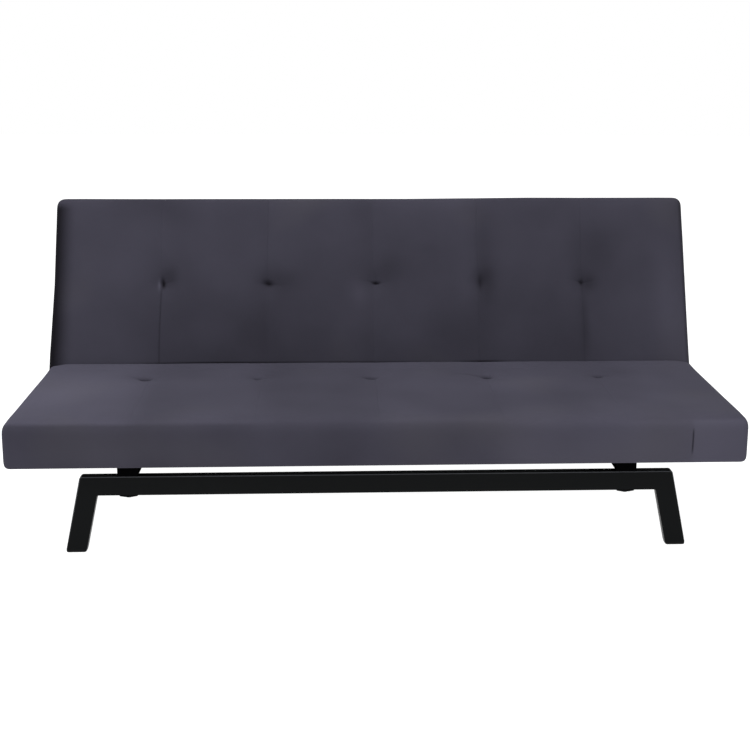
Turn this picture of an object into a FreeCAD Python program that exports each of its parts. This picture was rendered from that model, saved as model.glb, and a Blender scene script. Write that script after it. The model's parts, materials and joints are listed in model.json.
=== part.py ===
import FreeCAD
import Part
import math
import os

V = FreeCAD.Vector

# Click clack sofa bed, in millimetres: +X to the sitter's left, +Y to the rear, +Z up from the floor.
# It is laid out with y = 0 at the seat's front and moved at the end, so that the origin is on the
# floor under the middle. The back is drawn lying flat, as in a bed, and then turned up to its lean.

TINY = 1e-6
GAP = 0.3  # clearance that keeps soft pieces apart
FACE_GAP = 0.15  # clearance beside a moving plate
RUNNING = 0.05  # radial clearance of a pin in its hole
PAST = 1.0  # how far a cutting form reaches past a face
FAR_PAST = 20.0  # the same where it leaves a cushion
UP = V(0, 0, 1)

# Cushions
WIDTH = 1800.0
PANELS = 6
SEAT_DEPTH = 523.0
SEAT_BASE = 240.0
SEAT_TOP = 351.0
BACK_LENGTH = 540.0
BACK_THICK = 106.0
BACK_LEAN = 23.6  # degrees from upright
CROWN = 9.0
CROWN_AT_SEAM = 5.0
EDGE_BULGE = 4.0  # outward swell of an edge that shows
JOINT_BULGE = 0.8  # swell of the two edges that face each other at the hinge
TOP_ROUND = 15.0
BASE_ROUND = 17.0
END_ROUND = 17.0
COVER = 2.0
DUST_COVER = 0.6
COVER_RETURN = 40.0
DUST_INSET = 14.0
SEAT_TUFT_ROW = 391.0  # behind the seat's front
BACK_TUFT_ROW = 260.0  # up the back from the hinge axis
TUFT_DEPTH = 13.0
TUFT_REACH = 42.0
TUFT_CORE = 3.0
TUFT_SIDES = 8
TUFT_KNEE = (0.26, 0.3)  # shares of reach and depth, where the steep core ends
TIE_R = 1.0
KNOT_R = 2.6
KNOT_HIGH = 1.4
TOGGLE_R = 15.0
TOGGLE_THICK = 3.0
BASE_STEPS = 2  # flat steps of a round edge underneath
HIDDEN_STEPS = (2, 2, 4)  # flat steps of a side, corner and crown that nothing shows
FASTENER_SIDES = 6
RIVET_SIDES = 12

# Hinge axis
PIVOT_Y = 571.3
PIVOT_Z = 306.0
PIVOT_DEPTH = 44.0  # below the back's front surface
PIVOT_INSET = 26.0  # from the back's lower edge

# Wooden frames inside the cushions
WOOD_HIGH = 45.0
WOOD_THICK = 22.0
WOOD_INSET = 25.0  # padding round the frame
WOOD_END_INSET = 42.0  # padding at the ends, which also holds the hinge
BEARER_WIDE = 60.0
CORNER_BLOCK = 42.0
STRAP_WIDE = 50.0
STRAP_THICK = 2.0
STRAPS = 12

# Base of steel tube
TUBE_HIGH = 50.0
TUBE_DEEP = 25.0
TUBE_WALL = 1.5
RAIL_TOP = 200.0
RAIL_FROM_END = 167.0  # rail's top corner from the cushions' ends
SPLAY = 12.6
OUTER_CORNER = 20.0
INNER_CORNER = 5.0
FRONT_FRAME_Y = 62.0
REAR_FRAME_Y = 760.0
CAP_HIGH = 9.0
CAP_PLUG = 22.0
BAR_WIDE = 50.0
BAR_HIGH = 40.0
BAR_FROM_END = 284.0
PLUG_FLANGE = 2.5
PLUG_LENGTH = 18.0
TAB_WIDE = 10.0
TAB_THICK = 3.0
TAB_LONG = 40.0
FRAME_BOLT_R = 4.0
FRAME_HEAD_R = 11.0
FRAME_HEAD = 3.4
FRAME_HEAD_DOME = ((0.9, 0.55), (0.55, 1.0))  # shares of the head's radius and height
FRAME_SOCKET_R = 3.0
FRAME_SOCKET = 2.4
NUT_LONG = 14.0
NUT_WALL = 1.0
NUT_FLANGE_R = 7.0
NUT_FLANGE = 3.0
NUT_TAPER = (0.8, 2.0)  # inwards and upwards
PLUG_NOTCH_GAP = 1.0
SADDLE_WIDE = 44.0
SADDLE_THICK = 3.5
SADDLE_RIM = 1.2
SEAT_BOLT_R = 3.0
SEAT_BOLT_ROWS = (190.0, 420.0)
SEAT_HEAD_R = 7.0
SEAT_HEAD_TOP_R = 6.0
SEAT_HEAD = 3.5
TEE_R = 4.0
TEE_LONG = 15.0
TEE_FLANGE_R = 9.5
TEE_FLANGE = 1.5

# Hinge plates, from the frames' end rails outwards
CHEEK = 3.0
ARM = 4.0
HUB_R = 26.0
ROOT_R = 20.5
CHEEK_R = 23.0
CHEEK_SHOULDER = 13.0  # in front of the hub
CHEEK_SIDES = 3.7  # below the axis, where the plate's sides meet the hub
CHEEK_HEEL = 11.0  # behind the axis, at the plate's foot
OUTER_CHEEK_END = 12.0  # in front of the spacer
PIVOT_R = 5.0
PAWL_PIN = (-40.0, -40.0)  # from the pivot: rearwards, upwards
PAWL_PIN_R = 3.5
PAWL_BOSS_R = 7.0
PAWL_LIFT = 9.0  # degrees
BOSS_LAP = (1.0, 0.2)  # how far the pawl's edges start inside its boss
SPACER = (-60.0, -40.0)
SPACER_R = 3.0
SPACER_SHOULDER = 1.5
NOSE_ANGLE = 262.0
FORWARD_TURN = 11.0
TOOTH_HALF = 5.0  # degrees, as the next three
TOOTH_DRAFT = 9.5  # so that the face lies along the pawl's swing
TOOTH_RAMP = 6.0
TOOTH_FREE = 5.0
TOOTH_OVERCUT = 3.0
NOSE_HALF = 3.0  # degrees, as the next
NOSE_FLANK = 9.5
NOSE_OUT = 1.0  # past the hub's rim
NOSE_DEEP = 8.0
NOSE_HEEL = 3.0
NOSE_PLAY = 0.5
LOCKED_STOPS = 3
STRIP_LOW = -58.0
STRIP_HIGH = -24.0
SEAT_STRIP = 231.0
ARM_STRIP = (45.0, 195.0)
JOGGLE = (32.0, 42.0)
ARM_SHOULDER = 53.0
ARM_RAISE = 4.0  # of the arm's strip over the seat plate's
ARM_TOP = (8.0, -3.0)  # top of its neck: behind the axis, from the hub's top
ARM_HEEL = -60.0  # degrees round the hub, where its lower edge starts
ARM_WAIST = (34.0, 2.0)  # bottom of the hollow in its upper edge, from the axis
PLATE_CORNER = 8.0
PLATE_BEND = 12.0
SCREW_R = 2.5
SCREW_ROOT_R = 2.2
SCREWS = 4
SCREW_MARGIN = 5.0
SCREW_SPACER_GAP = 30.0
SCREW_LONG = 18.0
SCREW_TIP = 4.0
SCREW_HEAD_R = 4.5
SCREW_HEAD_TOP_R = 3.6
SCREW_HEAD = 2.4
RIVET_HEAD = 2.2
RIVET_RIM = (2.5, 1.5)  # wider than the shaft, at the head's base and top
SPRING_THICK = 0.8
SPRING_WIDE = 3.0
BAY_X = 17.0
BAY_END = 6.0
BAY_LOW = 3.0
BAY_HIGH = 4.0
BAY_FRONT = 36.0

# Worked out from the sizes above
RAIL_HALF = WIDTH / 2 - RAIL_FROM_END
BAR_X = WIDTH / 2 - BAR_FROM_END
FLAT_TURN = 90.0 - BACK_LEAN
WOOD_X = WIDTH / 2 - WOOD_END_INSET
WOOD_Z = SEAT_BASE + DUST_COVER + COVER
ARM_X = WOOD_X + CHEEK + FACE_GAP
OUTER_CHEEK_X = ARM_X + ARM + FACE_GAP
BACK_FRONT = PIVOT_Z + PIVOT_DEPTH
BACK_REAR = BACK_FRONT - BACK_THICK
BACK_START = PIVOT_Y - PIVOT_INSET
BACK_END = BACK_START + BACK_LENGTH
BACK_WOOD_Z = BACK_REAR + DUST_COVER + COVER
BAR_START = FRONT_FRAME_Y + PLUG_FLANGE
BAR_STOP = REAR_FRAME_Y + TUBE_DEEP - PLUG_FLANGE
ARM_LOW = STRIP_LOW + ARM_RAISE
ARM_HIGH = STRIP_HIGH + ARM_RAISE
SEAT_BOX = (0.0, SEAT_DEPTH, SEAT_BASE + DUST_COVER, SEAT_TOP)
SEAT_BULGES = (EDGE_BULGE, JOINT_BULGE)
BACK_BOX = (BACK_START, BACK_END, BACK_REAR + DUST_COVER, BACK_FRONT)
BACK_BULGES = (JOINT_BULGE, EDGE_BULGE)
SEAMS = [WIDTH * (i / PANELS - 0.5) for i in range(1, PANELS)]
TAN_SPLAY = math.tan(math.radians(SPLAY))
COS_SPLAY = math.cos(math.radians(SPLAY))


def outline(corners, place):
    """Closed wire through corners (a, b) or (a, b, radius), with a tangent arc at each radius."""
    flat = [V(corner[0], corner[1], 0) for corner in corners]
    turns = []
    for i, corner in enumerate(corners):
        here = flat[i]
        if len(corner) < 3:
            turns.append([here])
            continue
        before = (flat[i - 1] - here).normalize()
        after = (flat[(i + 1) % len(flat)] - here).normalize()
        half = before.getAngle(after) / 2
        reach = corner[2] / math.tan(half)
        middle = here + (before + after).normalize() * (corner[2] / math.sin(half) - corner[2])
        turns.append([here + before * reach, middle, here + after * reach])
    edges = []
    for i, turn in enumerate(turns):
        if len(turn) == 3:
            edges.append(Part.Arc(*[place(p.x, p.y) for p in turn]).toShape())
        end = turn[-1]
        start = turns[(i + 1) % len(turns)][0]
        if (start - end).Length > TINY:
            edges.append(Part.makeLine(place(end.x, end.y), place(start.x, start.y)))
    return Part.Wire(edges)


def side_plate(corners, x, thick):
    """Plate with a side-view outline of (y, z) corners, from x outwards."""
    return Part.Face(outline(corners, lambda y, z: V(x, y, z))).extrude(V(thick, 0, 0))


def front_plate(corners, y, deep):
    """Plate with a front-view outline of (x, z) corners, from y rearwards."""
    return Part.Face(outline(corners, lambda x, z: V(x, y, z))).extrude(V(0, deep, 0))


def block(x0, x1, y0, y1, z0, z1):
    return Part.makeBox(x1 - x0, y1 - y0, z1 - z0, V(x0, y0, z0))


def rod(radius, base, along):
    """Round shaft or hole of a pin that something turns on."""
    return Part.makeCylinder(radius, along.Length, base, along)


def faceted(profile, base, axis, sides=FASTENER_SIDES):
    """Small piece turned from (radius, height) points with few flat sides, whose first and last
    points are on its axis, or are joined where it has a bore."""
    def ring(radius, high):
        steps = [2 * math.pi * i / sides for i in range(sides + 1)]
        return [V(radius * math.cos(a), radius * math.sin(a), high) for a in steps]

    rings = [ring(r, h) for r, h in profile]
    if profile[0][0] > 0:
        rings.append(rings[0])
    faces = []
    for low, high in zip(rings, rings[1:]):
        for i in range(sides):
            spots = [low[i], low[i + 1], high[i + 1], high[i]]
            spots = [p for k, p in enumerate(spots) if (p - spots[k - 1]).Length > TINY]
            faces.append(Part.Face(Part.makePolygon(spots + spots[:1])))
    solid = Part.Solid(Part.Shell(faces))
    if solid.Volume < 0:
        solid.reverse()
    solid.Placement = FreeCAD.Placement(base, FreeCAD.Rotation(UP, axis))
    return solid


def hole(radius, base, along):
    """Hole for a fastener made by faceted, on the same flat sides."""
    profile = [(0, 0), (radius, 0), (radius, along.Length), (0, along.Length)]
    return faceted(profile, base, along)


def joined(pieces):
    return pieces[0].multiFuse(pieces[1:])


def group(pieces):
    return Part.makeCompound(pieces)


def both_sides(right):
    """The right piece with its mirror image, as left and right."""
    return right.mirror(V(0, 0, 0), V(1, 0, 0)), right


def from_pivot(corners):
    """Moves outline corners given from the hinge axis to their place."""
    return [(c[0] + PIVOT_Y, c[1] + PIVOT_Z) + tuple(c[2:]) for c in corners]


def round_pivot(radius, degrees):
    """Point at a radius and angle about the hinge axis, from the axis."""
    angle = math.radians(degrees)
    return radius * math.cos(angle), radius * math.sin(angle)


# Cushions


def crown_at(x):
    """Rise of the top between its edges: full mid-panel, less at the seams and ends."""
    share = abs(math.sin(math.pi * PANELS * (x / WIDTH + 0.5)))
    return CROWN_AT_SEAM + (CROWN - CROWN_AT_SEAM) * share


def bow(a, middle, b, steps):
    """Arc from a to b through a middle point, or as many straight steps along it."""
    arc = Part.Arc(a, middle, b).toShape()
    if steps == 0:
        return [arc]
    spots = arc.discretize(steps + 1)
    return [Part.makeLine(p, q) for p, q in zip(spots, spots[1:])]


def cushion_section(x, box, bulges, inset, shrink):
    """Cross-section of a cushion: flat base, swelling sides and a crowned top, with round corners.
    The form drawn in by an inset, which nothing shows, has straight steps in place of arcs."""
    y0, y1, z0, z1 = box
    y0 += inset + shrink
    y1 -= inset + shrink
    z0 += inset
    z1 -= inset + shrink
    low = BASE_ROUND - inset
    high = TOP_ROUND - inset
    middle = (z0 + z1) / 2
    slack = 1 - math.sqrt(0.5)
    side_steps, corner_steps, crown_steps = HIDDEN_STEPS if inset else (0, 0, 0)
    spans = [
        ((y1 - low, z0), (y1 - low * slack, z0 + low * slack), (y1, z0 + low), BASE_STEPS),
        ((y1, z0 + low), (y1 + bulges[1], middle), (y1, z1 - high), side_steps),
        ((y1, z1 - high), (y1 - high * slack, z1 - high * slack), (y1 - high, z1), corner_steps),
        ((y1 - high, z1), ((y0 + y1) / 2, z1 + crown_at(x)), (y0 + high, z1), crown_steps),
        ((y0 + high, z1), (y0 + high * slack, z1 - high * slack), (y0, z1 - high), corner_steps),
        ((y0, z1 - high), (y0 - bulges[0], middle), (y0, z0 + low), side_steps),
        ((y0, z0 + low), (y0 + low * slack, z0 + low * slack), (y0 + low, z0), BASE_STEPS),
    ]
    edges = [Part.makeLine(V(x, y0 + low, z0), V(x, y1 - low, z0))]
    for a, b, c, steps in spans:
        edges += bow(V(x, *a), V(x, *b), V(x, *c), steps)
    return Part.Wire(edges)


def tuft_pinch(x, y, z, inset):
    """Hollow that a sewn tuft draws into the top: steep at its core and flat at its rim."""
    depth = TUFT_DEPTH + inset
    core = TUFT_CORE + inset
    reach = TUFT_REACH + inset
    knee = (core + (reach - core) * TUFT_KNEE[0], -depth * TUFT_KNEE[1])
    profile = [(0, -depth), (core, -depth), knee, (reach, CROWN), (0, CROWN)]
    return faceted(profile, V(x, y, z), UP, TUFT_SIDES)


def cushion(box, bulges, tuft_row, inset):
    """Whole cushion form, drawn in by an inset, with its crowned panels and tufts."""
    half = WIDTH / 2 - inset
    turn = END_ROUND - inset
    flat_half = half - turn
    crests = [WIDTH * ((i + 0.5) / PANELS - 0.5) for i in range(PANELS)]
    stations = sorted([-flat_half, flat_half] + SEAMS + crests)
    sections = [cushion_section(x, box, bulges, inset, 0) for x in stations]
    pieces = [Part.makeLoft(sections, True, True)]
    for side in (-1, 1):
        rounds = []
        for degrees in (90, 45, 0):
            angle = math.radians(degrees)
            x = side * (flat_half + turn * math.cos(angle))
            rounds.append(cushion_section(x, box, bulges, inset, turn * (1 - math.sin(angle))))
        pieces.append(Part.makeLoft(rounds, True, True))
    form = joined(pieces)
    top = box[3] + CROWN_AT_SEAM - inset
    pinches = [tuft_pinch(x, tuft_row, top, inset) for x in SEAMS]
    return form.cut(pinches)

def hinge_bays(*rooms):
    """Room that the padding leaves at each end for the hinge plates and their swing, each
    given by its lowest and highest y and z."""
    return [bay for room in rooms for bay in both_sides(block(WOOD_X - GAP, WOOD_X + BAY_X, *room))]


def cushion_pieces(box, bulges, tuft_row, wood, strap_top, bays):
    """Cover, padding, dust cover and tuft ties of one cushion."""
    ties = [tuft_tie(x, tuft_row, box[3] + CROWN_AT_SEAM - TUFT_DEPTH, strap_top) for x in SEAMS]
    up = UP * (box[3] - strap_top)
    holes = [hole(TIE_R + GAP, V(x, tuft_row, strap_top), up) for x in SEAMS]
    opening = block(
        COVER_RETURN - WIDTH / 2,
        WIDTH / 2 - COVER_RETURN,
        box[0] + COVER_RETURN,
        box[1] - COVER_RETURN,
        box[2] - PAST,
        box[2] + COVER + PAST,
    )
    outer = cushion(box, bulges, tuft_row, 0)
    cover = outer.cut([cushion(box, bulges, tuft_row, COVER), opening] + bays + holes)
    frame_room = block(
        -WOOD_X - GAP, WOOD_X + GAP, wood[0] - GAP, wood[1] + GAP, box[2] - PAST, strap_top + GAP
    )
    up = UP * (TOGGLE_THICK + 2 * GAP)
    toggles = [hole(TOGGLE_R + GAP, V(x, tuft_row, strap_top), up) for x in SEAMS]
    padding = cushion(box, bulges, tuft_row, COVER + GAP).cut([frame_room] + bays + holes + toggles)
    return cover, padding, group(ties)

def tuft_tie(x, y, top, bottom):
    """Twine through the padding, knotted in the pinch and held below by a toggle."""
    low = bottom + GAP
    profile = [
        (0, low),
        (TOGGLE_R, low),
        (TOGGLE_R, low + TOGGLE_THICK),
        (TIE_R, low + TOGGLE_THICK),
        (TIE_R, top),
        (KNOT_R, top),
        (KNOT_R, top + KNOT_HIGH),
        (0, top + KNOT_HIGH),
    ]
    return faceted(profile, V(x, y, 0), UP)


def dust_cover(box, holes):
    sheet = block(
        DUST_INSET - WIDTH / 2 + BASE_ROUND,
        WIDTH / 2 - DUST_INSET - BASE_ROUND,
        box[0] + DUST_INSET + BASE_ROUND,
        box[1] - DUST_INSET - BASE_ROUND,
        box[2] - DUST_COVER,
        box[2],
    )
    return sheet.cut(holes) if holes else sheet


# Wooden frames


def frame_span(box):
    return box[0] + WOOD_INSET, box[1] - WOOD_INSET


def wooden_frame(box):
    """Rails, bearers, corner blocks and elastic straps of one cushion's frame, by name."""
    y0, y1 = frame_span(box)
    z0 = box[2] + COVER
    z1 = z0 + WOOD_HIGH
    inner = WOOD_X - WOOD_THICK
    right_end = block(inner, WOOD_X, y0, y1, z0, z1)
    left_end, right_end = both_sides(right_end)
    near = block(-inner, inner, y0, y0 + WOOD_THICK, z0, z1)
    far = block(-inner, inner, y1 - WOOD_THICK, y1, z0, z1)
    corners = []
    for y, step in ((y0 + WOOD_THICK, 1), (y1 - WOOD_THICK, -1)):
        for side in (-1, 1):
            spots = [(inner, y), (inner - CORNER_BLOCK, y), (inner, y + step * CORNER_BLOCK)]
            wire = Part.makePolygon([V(side * a, b, z0) for a, b in spots + spots[:1]])
            corners.append(Part.Face(wire).extrude(UP * WOOD_HIGH))
    straps = []
    pitch = 2 * inner / STRAPS
    for i in range(STRAPS):
        x = -inner + pitch * (i + 0.5) - STRAP_WIDE / 2
        straps.append(block(x, x + STRAP_WIDE, y0, y1, z1, z1 + STRAP_THICK))
    return {
        "near_rail": near,
        "far_rail": far,
        "end_rail_left": left_end,
        "end_rail_right": right_end,
        "corner_blocks": group(corners),
        "webbing": group(straps),
    }


def bearers(box, thick):
    """Two flat boards across the frame, over the base's side bars."""
    y0, y1 = frame_span(box)
    z0 = box[2] + COVER
    boards = []
    for side in (-1, 1):
        x = side * BAR_X
        board = block(
            x - BEARER_WIDE / 2, x + BEARER_WIDE / 2, y0 + WOOD_THICK, y1 - WOOD_THICK, z0, z0 + thick
        )
        boards.append(board)
    return boards


def middle_rail(box):
    y0, y1 = frame_span(box)
    z0 = box[2] + COVER
    return block(-WOOD_THICK / 2, WOOD_THICK / 2, y0 + WOOD_THICK, y1 - WOOD_THICK, z0, z0 + WOOD_HIGH)


# Steel base


def frame_corners(inset, foot):
    """Front-view outline of a leg frame's tube, drawn in by an inset and cut off at a foot height."""
    slant = inset / COS_SPLAY
    top = RAIL_TOP - inset
    under = RAIL_TOP - TUBE_HIGH + inset

    def outer(z):
        return RAIL_HALF + (RAIL_TOP - z) * TAN_SPLAY - slant

    def inner(z):
        return RAIL_HALF + (RAIL_TOP - z) * TAN_SPLAY - TUBE_HIGH / COS_SPLAY + slant

    right = [
        (outer(top), top, OUTER_CORNER - inset),
        (outer(foot), foot),
        (inner(foot), foot),
        (inner(under), under, INNER_CORNER + inset),
    ]
    left = [(-c[0],) + c[1:] for c in reversed(right)]
    return right + left


def leg_frame(y):
    """Bent tube of rail and two splayed legs, open at the feet, with its bolt holes."""
    body = front_plate(frame_corners(0, CAP_HIGH), y, TUBE_DEEP)
    inside = frame_corners(TUBE_WALL, CAP_HIGH - PAST)
    hollow = front_plate(inside, y + TUBE_WALL, TUBE_DEEP - 2 * TUBE_WALL)
    middle = y + TUBE_DEEP / 2
    holes = []
    for side in (-1, 1):
        low = V(side * BAR_X, middle, RAIL_TOP - TUBE_HIGH - PAST)
        holes.append(hole(FRAME_BOLT_R + RUNNING, low, UP * (TUBE_HIGH + 2 * PAST)))
    return body.cut([hollow] + holes)


def foot_cap(side, y):
    """Plastic end of one leg: a foot under the tube and a plug inside it."""
    def leg_slice(inset, z0, z1):
        corners = []
        for z in (z0, z1):
            reach = RAIL_HALF + (RAIL_TOP - z) * TAN_SPLAY
            corners.append((side * (reach - inset / COS_SPLAY), z))
            corners.append((side * (reach - (TUBE_HIGH - inset) / COS_SPLAY), z))
        return [corners[0], corners[1], corners[3], corners[2]]

    foot = front_plate(leg_slice(0, 0, CAP_HIGH), y, TUBE_DEEP)
    inset = TUBE_WALL + RUNNING
    plug = front_plate(leg_slice(inset, CAP_HIGH, CAP_HIGH + CAP_PLUG), y + inset, TUBE_DEEP - 2 * inset)
    return foot.fuse(plug)

def side_bar():
    """Tube across the two leg frames that carries the seat, with its welded tab and holes."""
    x0 = BAR_X - BAR_WIDE / 2
    x1 = BAR_X + BAR_WIDE / 2
    z1 = RAIL_TOP + BAR_HIGH
    body = block(x0, x1, BAR_START, BAR_STOP, RAIL_TOP, z1)
    hollow = block(
        x0 + TUBE_WALL,
        x1 - TUBE_WALL,
        BAR_START - PAST,
        BAR_STOP + PAST,
        RAIL_TOP + TUBE_WALL,
        z1 - TUBE_WALL,
    )
    tab = front_plate(
        [
            (x0 + TUBE_WALL / 2, z1),
            (x0 - TAB_WIDE, z1),
            (x0 - TAB_WIDE, z1 - TAB_THICK),
            (x0, z1 - TAB_WIDE),
            (x0 + TUBE_WALL / 2, z1 - TAB_WIDE),
        ],
        BAR_START,
        TAB_LONG,
    )
    holes = []
    low = RAIL_TOP - PAST
    nut = FRAME_BOLT_R + NUT_WALL + RUNNING
    for y in frame_bolt_rows():
        holes.append(hole(nut, V(BAR_X, y, low), UP * (TUBE_WALL + 2 * PAST)))
    for y in SEAT_BOLT_ROWS:
        holes.append(hole(SEAT_BOLT_R + RUNNING, V(BAR_X, y, low), UP * (BAR_HIGH + 2 * PAST)))
    return body.fuse(tab).cut([hollow] + holes)


def frame_bolt_rows():
    return FRONT_FRAME_Y + TUBE_DEEP / 2, REAR_FRAME_Y + TUBE_DEEP / 2


def bar_plug(y, step):
    """Plastic plug in one end of a side bar."""
    x0 = BAR_X - BAR_WIDE / 2
    x1 = BAR_X + BAR_WIDE / 2
    z1 = RAIL_TOP + BAR_HIGH
    ends = sorted((y, y - step * PLUG_FLANGE))
    flange = block(x0, x1, ends[0], ends[1], RAIL_TOP, z1)
    inset = TUBE_WALL + RUNNING
    ends = sorted((y, y + step * PLUG_LENGTH))
    body = block(x0 + inset, x1 - inset, ends[0], ends[1], RAIL_TOP + inset, z1 - inset)
    notch = NUT_FLANGE_R + PLUG_NOTCH_GAP
    nut_top = RAIL_TOP + TUBE_WALL + NUT_LONG + PLUG_NOTCH_GAP
    ends = sorted((y + step * PLUG_FLANGE / 2, y + step * (PLUG_LENGTH + PAST)))
    room = block(BAR_X - notch, BAR_X + notch, ends[0], ends[1], RAIL_TOP, nut_top)
    return flange.fuse(body.cut(room))


def saddle(side, y):
    """Dished clamp plate between a frame bolt's head and the rail."""
    under = RAIL_TOP - TUBE_HIGH
    half = SADDLE_WIDE / 2
    rim = under - SADDLE_RIM
    low = under - SADDLE_THICK
    x = side * BAR_X
    edges = [
        Part.makeLine(V(x - half, y, under), V(x + half, y, under)),
        Part.makeLine(V(x + half, y, under), V(x + half, y, rim)),
        Part.Arc(V(x + half, y, rim), V(x, y, low), V(x - half, y, rim)).toShape(),
        Part.makeLine(V(x - half, y, rim), V(x - half, y, under)),
    ]
    plate = Part.Face(Part.Wire(edges)).extrude(V(0, TUBE_DEEP, 0))
    crown = block(x - FRAME_HEAD_R, x + FRAME_HEAD_R, y, y + TUBE_DEEP, low, rim)
    base = V(x, y + TUBE_DEEP / 2, low - PAST)
    up = UP * (SADDLE_THICK + 2 * PAST)
    return plate.fuse(crown).cut(hole(FRAME_BOLT_R + RUNNING, base, up)).removeSplitter()


def frame_bolt(side, y):
    """Domed socket bolt up through saddle and rail into the side bar."""
    seat = RAIL_TOP - TUBE_HIGH - SADDLE_THICK
    tip = RAIL_TOP + TUBE_WALL + NUT_LONG
    profile = [
        (0, tip),
        (FRAME_BOLT_R, tip),
        (FRAME_BOLT_R, seat),
        (FRAME_HEAD_R, seat),
    ]
    profile += [(FRAME_HEAD_R * r, seat - FRAME_HEAD * h) for r, h in FRAME_HEAD_DOME]
    profile.append((0, seat - FRAME_HEAD))
    solid = faceted(profile, V(side * BAR_X, y, 0), UP)
    base = V(side * BAR_X, y, seat - FRAME_HEAD - PAST)
    return solid.cut(hole(FRAME_SOCKET_R, base, UP * (FRAME_SOCKET + PAST)))


def rivet_nut(side, y):
    """Threaded insert set in the side bar's lower wall."""
    bore = FRAME_BOLT_R + RUNNING
    body = FRAME_BOLT_R + NUT_WALL
    z = RAIL_TOP + TUBE_WALL
    profile = [
        (bore, RAIL_TOP),
        (body, RAIL_TOP),
        (body, z),
        (NUT_FLANGE_R, z),
        (NUT_FLANGE_R - NUT_TAPER[0], z + NUT_FLANGE),
        (body, z + NUT_FLANGE + NUT_TAPER[1]),
        (body, z + NUT_LONG),
        (bore, z + NUT_LONG),
    ]
    return faceted(profile, V(side * BAR_X, y, 0), UP)

def seat_bolt(side, y, top):
    """Pan head bolt from under the side bar into the seat's bearer."""
    profile = [
        (0, top),
        (SEAT_BOLT_R, top),
        (SEAT_BOLT_R, RAIL_TOP),
        (SEAT_HEAD_R, RAIL_TOP),
        (SEAT_HEAD_TOP_R, RAIL_TOP - SEAT_HEAD),
        (0, RAIL_TOP - SEAT_HEAD),
    ]
    return faceted(profile, V(side * BAR_X, y, 0), UP)


def tee_nut(side, y, top):
    """Flanged nut let into the bearer from above."""
    bore = SEAT_BOLT_R + RUNNING
    profile = [
        (bore, top - TEE_LONG),
        (TEE_R, top - TEE_LONG),
        (TEE_R, top),
        (TEE_FLANGE_R, top),
        (TEE_FLANGE_R, top + TEE_FLANGE),
        (bore, top + TEE_FLANGE),
    ]
    return faceted(profile, V(side * BAR_X, y, 0), UP)


# Hinges


def screw_spots(start, stop):
    step = (stop - start) / SCREWS
    level = (STRIP_LOW + STRIP_HIGH) / 2
    return [(start + step * (i + 0.5), level) for i in range(SCREWS)]


def cross_holes(spots, radius, form):
    """Holes along X through the hinge's plates, of the form rod or hole."""
    x = WOOD_X - PAST
    long = V(OUTER_CHEEK_X + CHEEK - WOOD_X + 2 * PAST, 0, 0)
    return [form(radius, V(x, PIVOT_Y + y, PIVOT_Z + z), long) for y, z in spots]


def cheek_corners(front):
    """Side of the hinge that stays with the seat, as an outline from the pivot."""
    return [
        (front, STRIP_LOW, PLATE_CORNER),
        (front, STRIP_HIGH, PLATE_CORNER),
        (-CHEEK_R - CHEEK_SHOULDER, STRIP_HIGH),
        (-CHEEK_R, -CHEEK_SIDES),
        (CHEEK_R, -CHEEK_SIDES),
        (CHEEK_HEEL, STRIP_LOW, PLATE_BEND),
    ]


def cheek(x, front):
    plate = side_plate(from_pivot(cheek_corners(front)), x, CHEEK)
    hub = rod(CHEEK_R, V(x, PIVOT_Y, PIVOT_Z), V(CHEEK, 0, 0))
    return plate.fuse(hub).removeSplitter()


def seat_plate():
    """Long plate screwed to the seat frame's end rail."""
    holes = cross_holes([(0, 0)], PIVOT_R + RUNNING, rod)
    holes += cross_holes([PAWL_PIN], PAWL_PIN_R + RUNNING, rod)
    holes += cross_holes([SPACER], SPACER_R + RUNNING, hole)
    holes += cross_holes(seat_screw_spots(), SCREW_R + RUNNING, hole)
    return cheek(WOOD_X, -SEAT_STRIP).cut(holes)


def outer_cheek():
    """Short plate that closes the hinge over the ratchet and pawl."""
    holes = cross_holes([(0, 0)], PIVOT_R + RUNNING, rod)
    holes += cross_holes([PAWL_PIN], PAWL_PIN_R + RUNNING, rod)
    holes += cross_holes([SPACER], SPACER_R + RUNNING, hole)
    return cheek(OUTER_CHEEK_X, SPACER[0] - OUTER_CHEEK_END).cut(holes)


def seat_screw_spots():
    return screw_spots(-SEAT_STRIP + SCREW_MARGIN, SPACER[0] - SCREW_SPACER_GAP)


def tooth_gap(angle, free):
    """Gap in the ratchet: a steep face that holds the pawl and a ramp that lifts it."""
    rim = HUB_R + TOOTH_OVERCUT
    return [
        round_pivot(ROOT_R, angle + TOOTH_HALF),
        round_pivot(rim, angle + TOOTH_HALF + TOOTH_DRAFT),
        round_pivot(rim, angle - free - TOOTH_RAMP),
        round_pivot(ROOT_R, angle - free),
    ]


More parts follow.
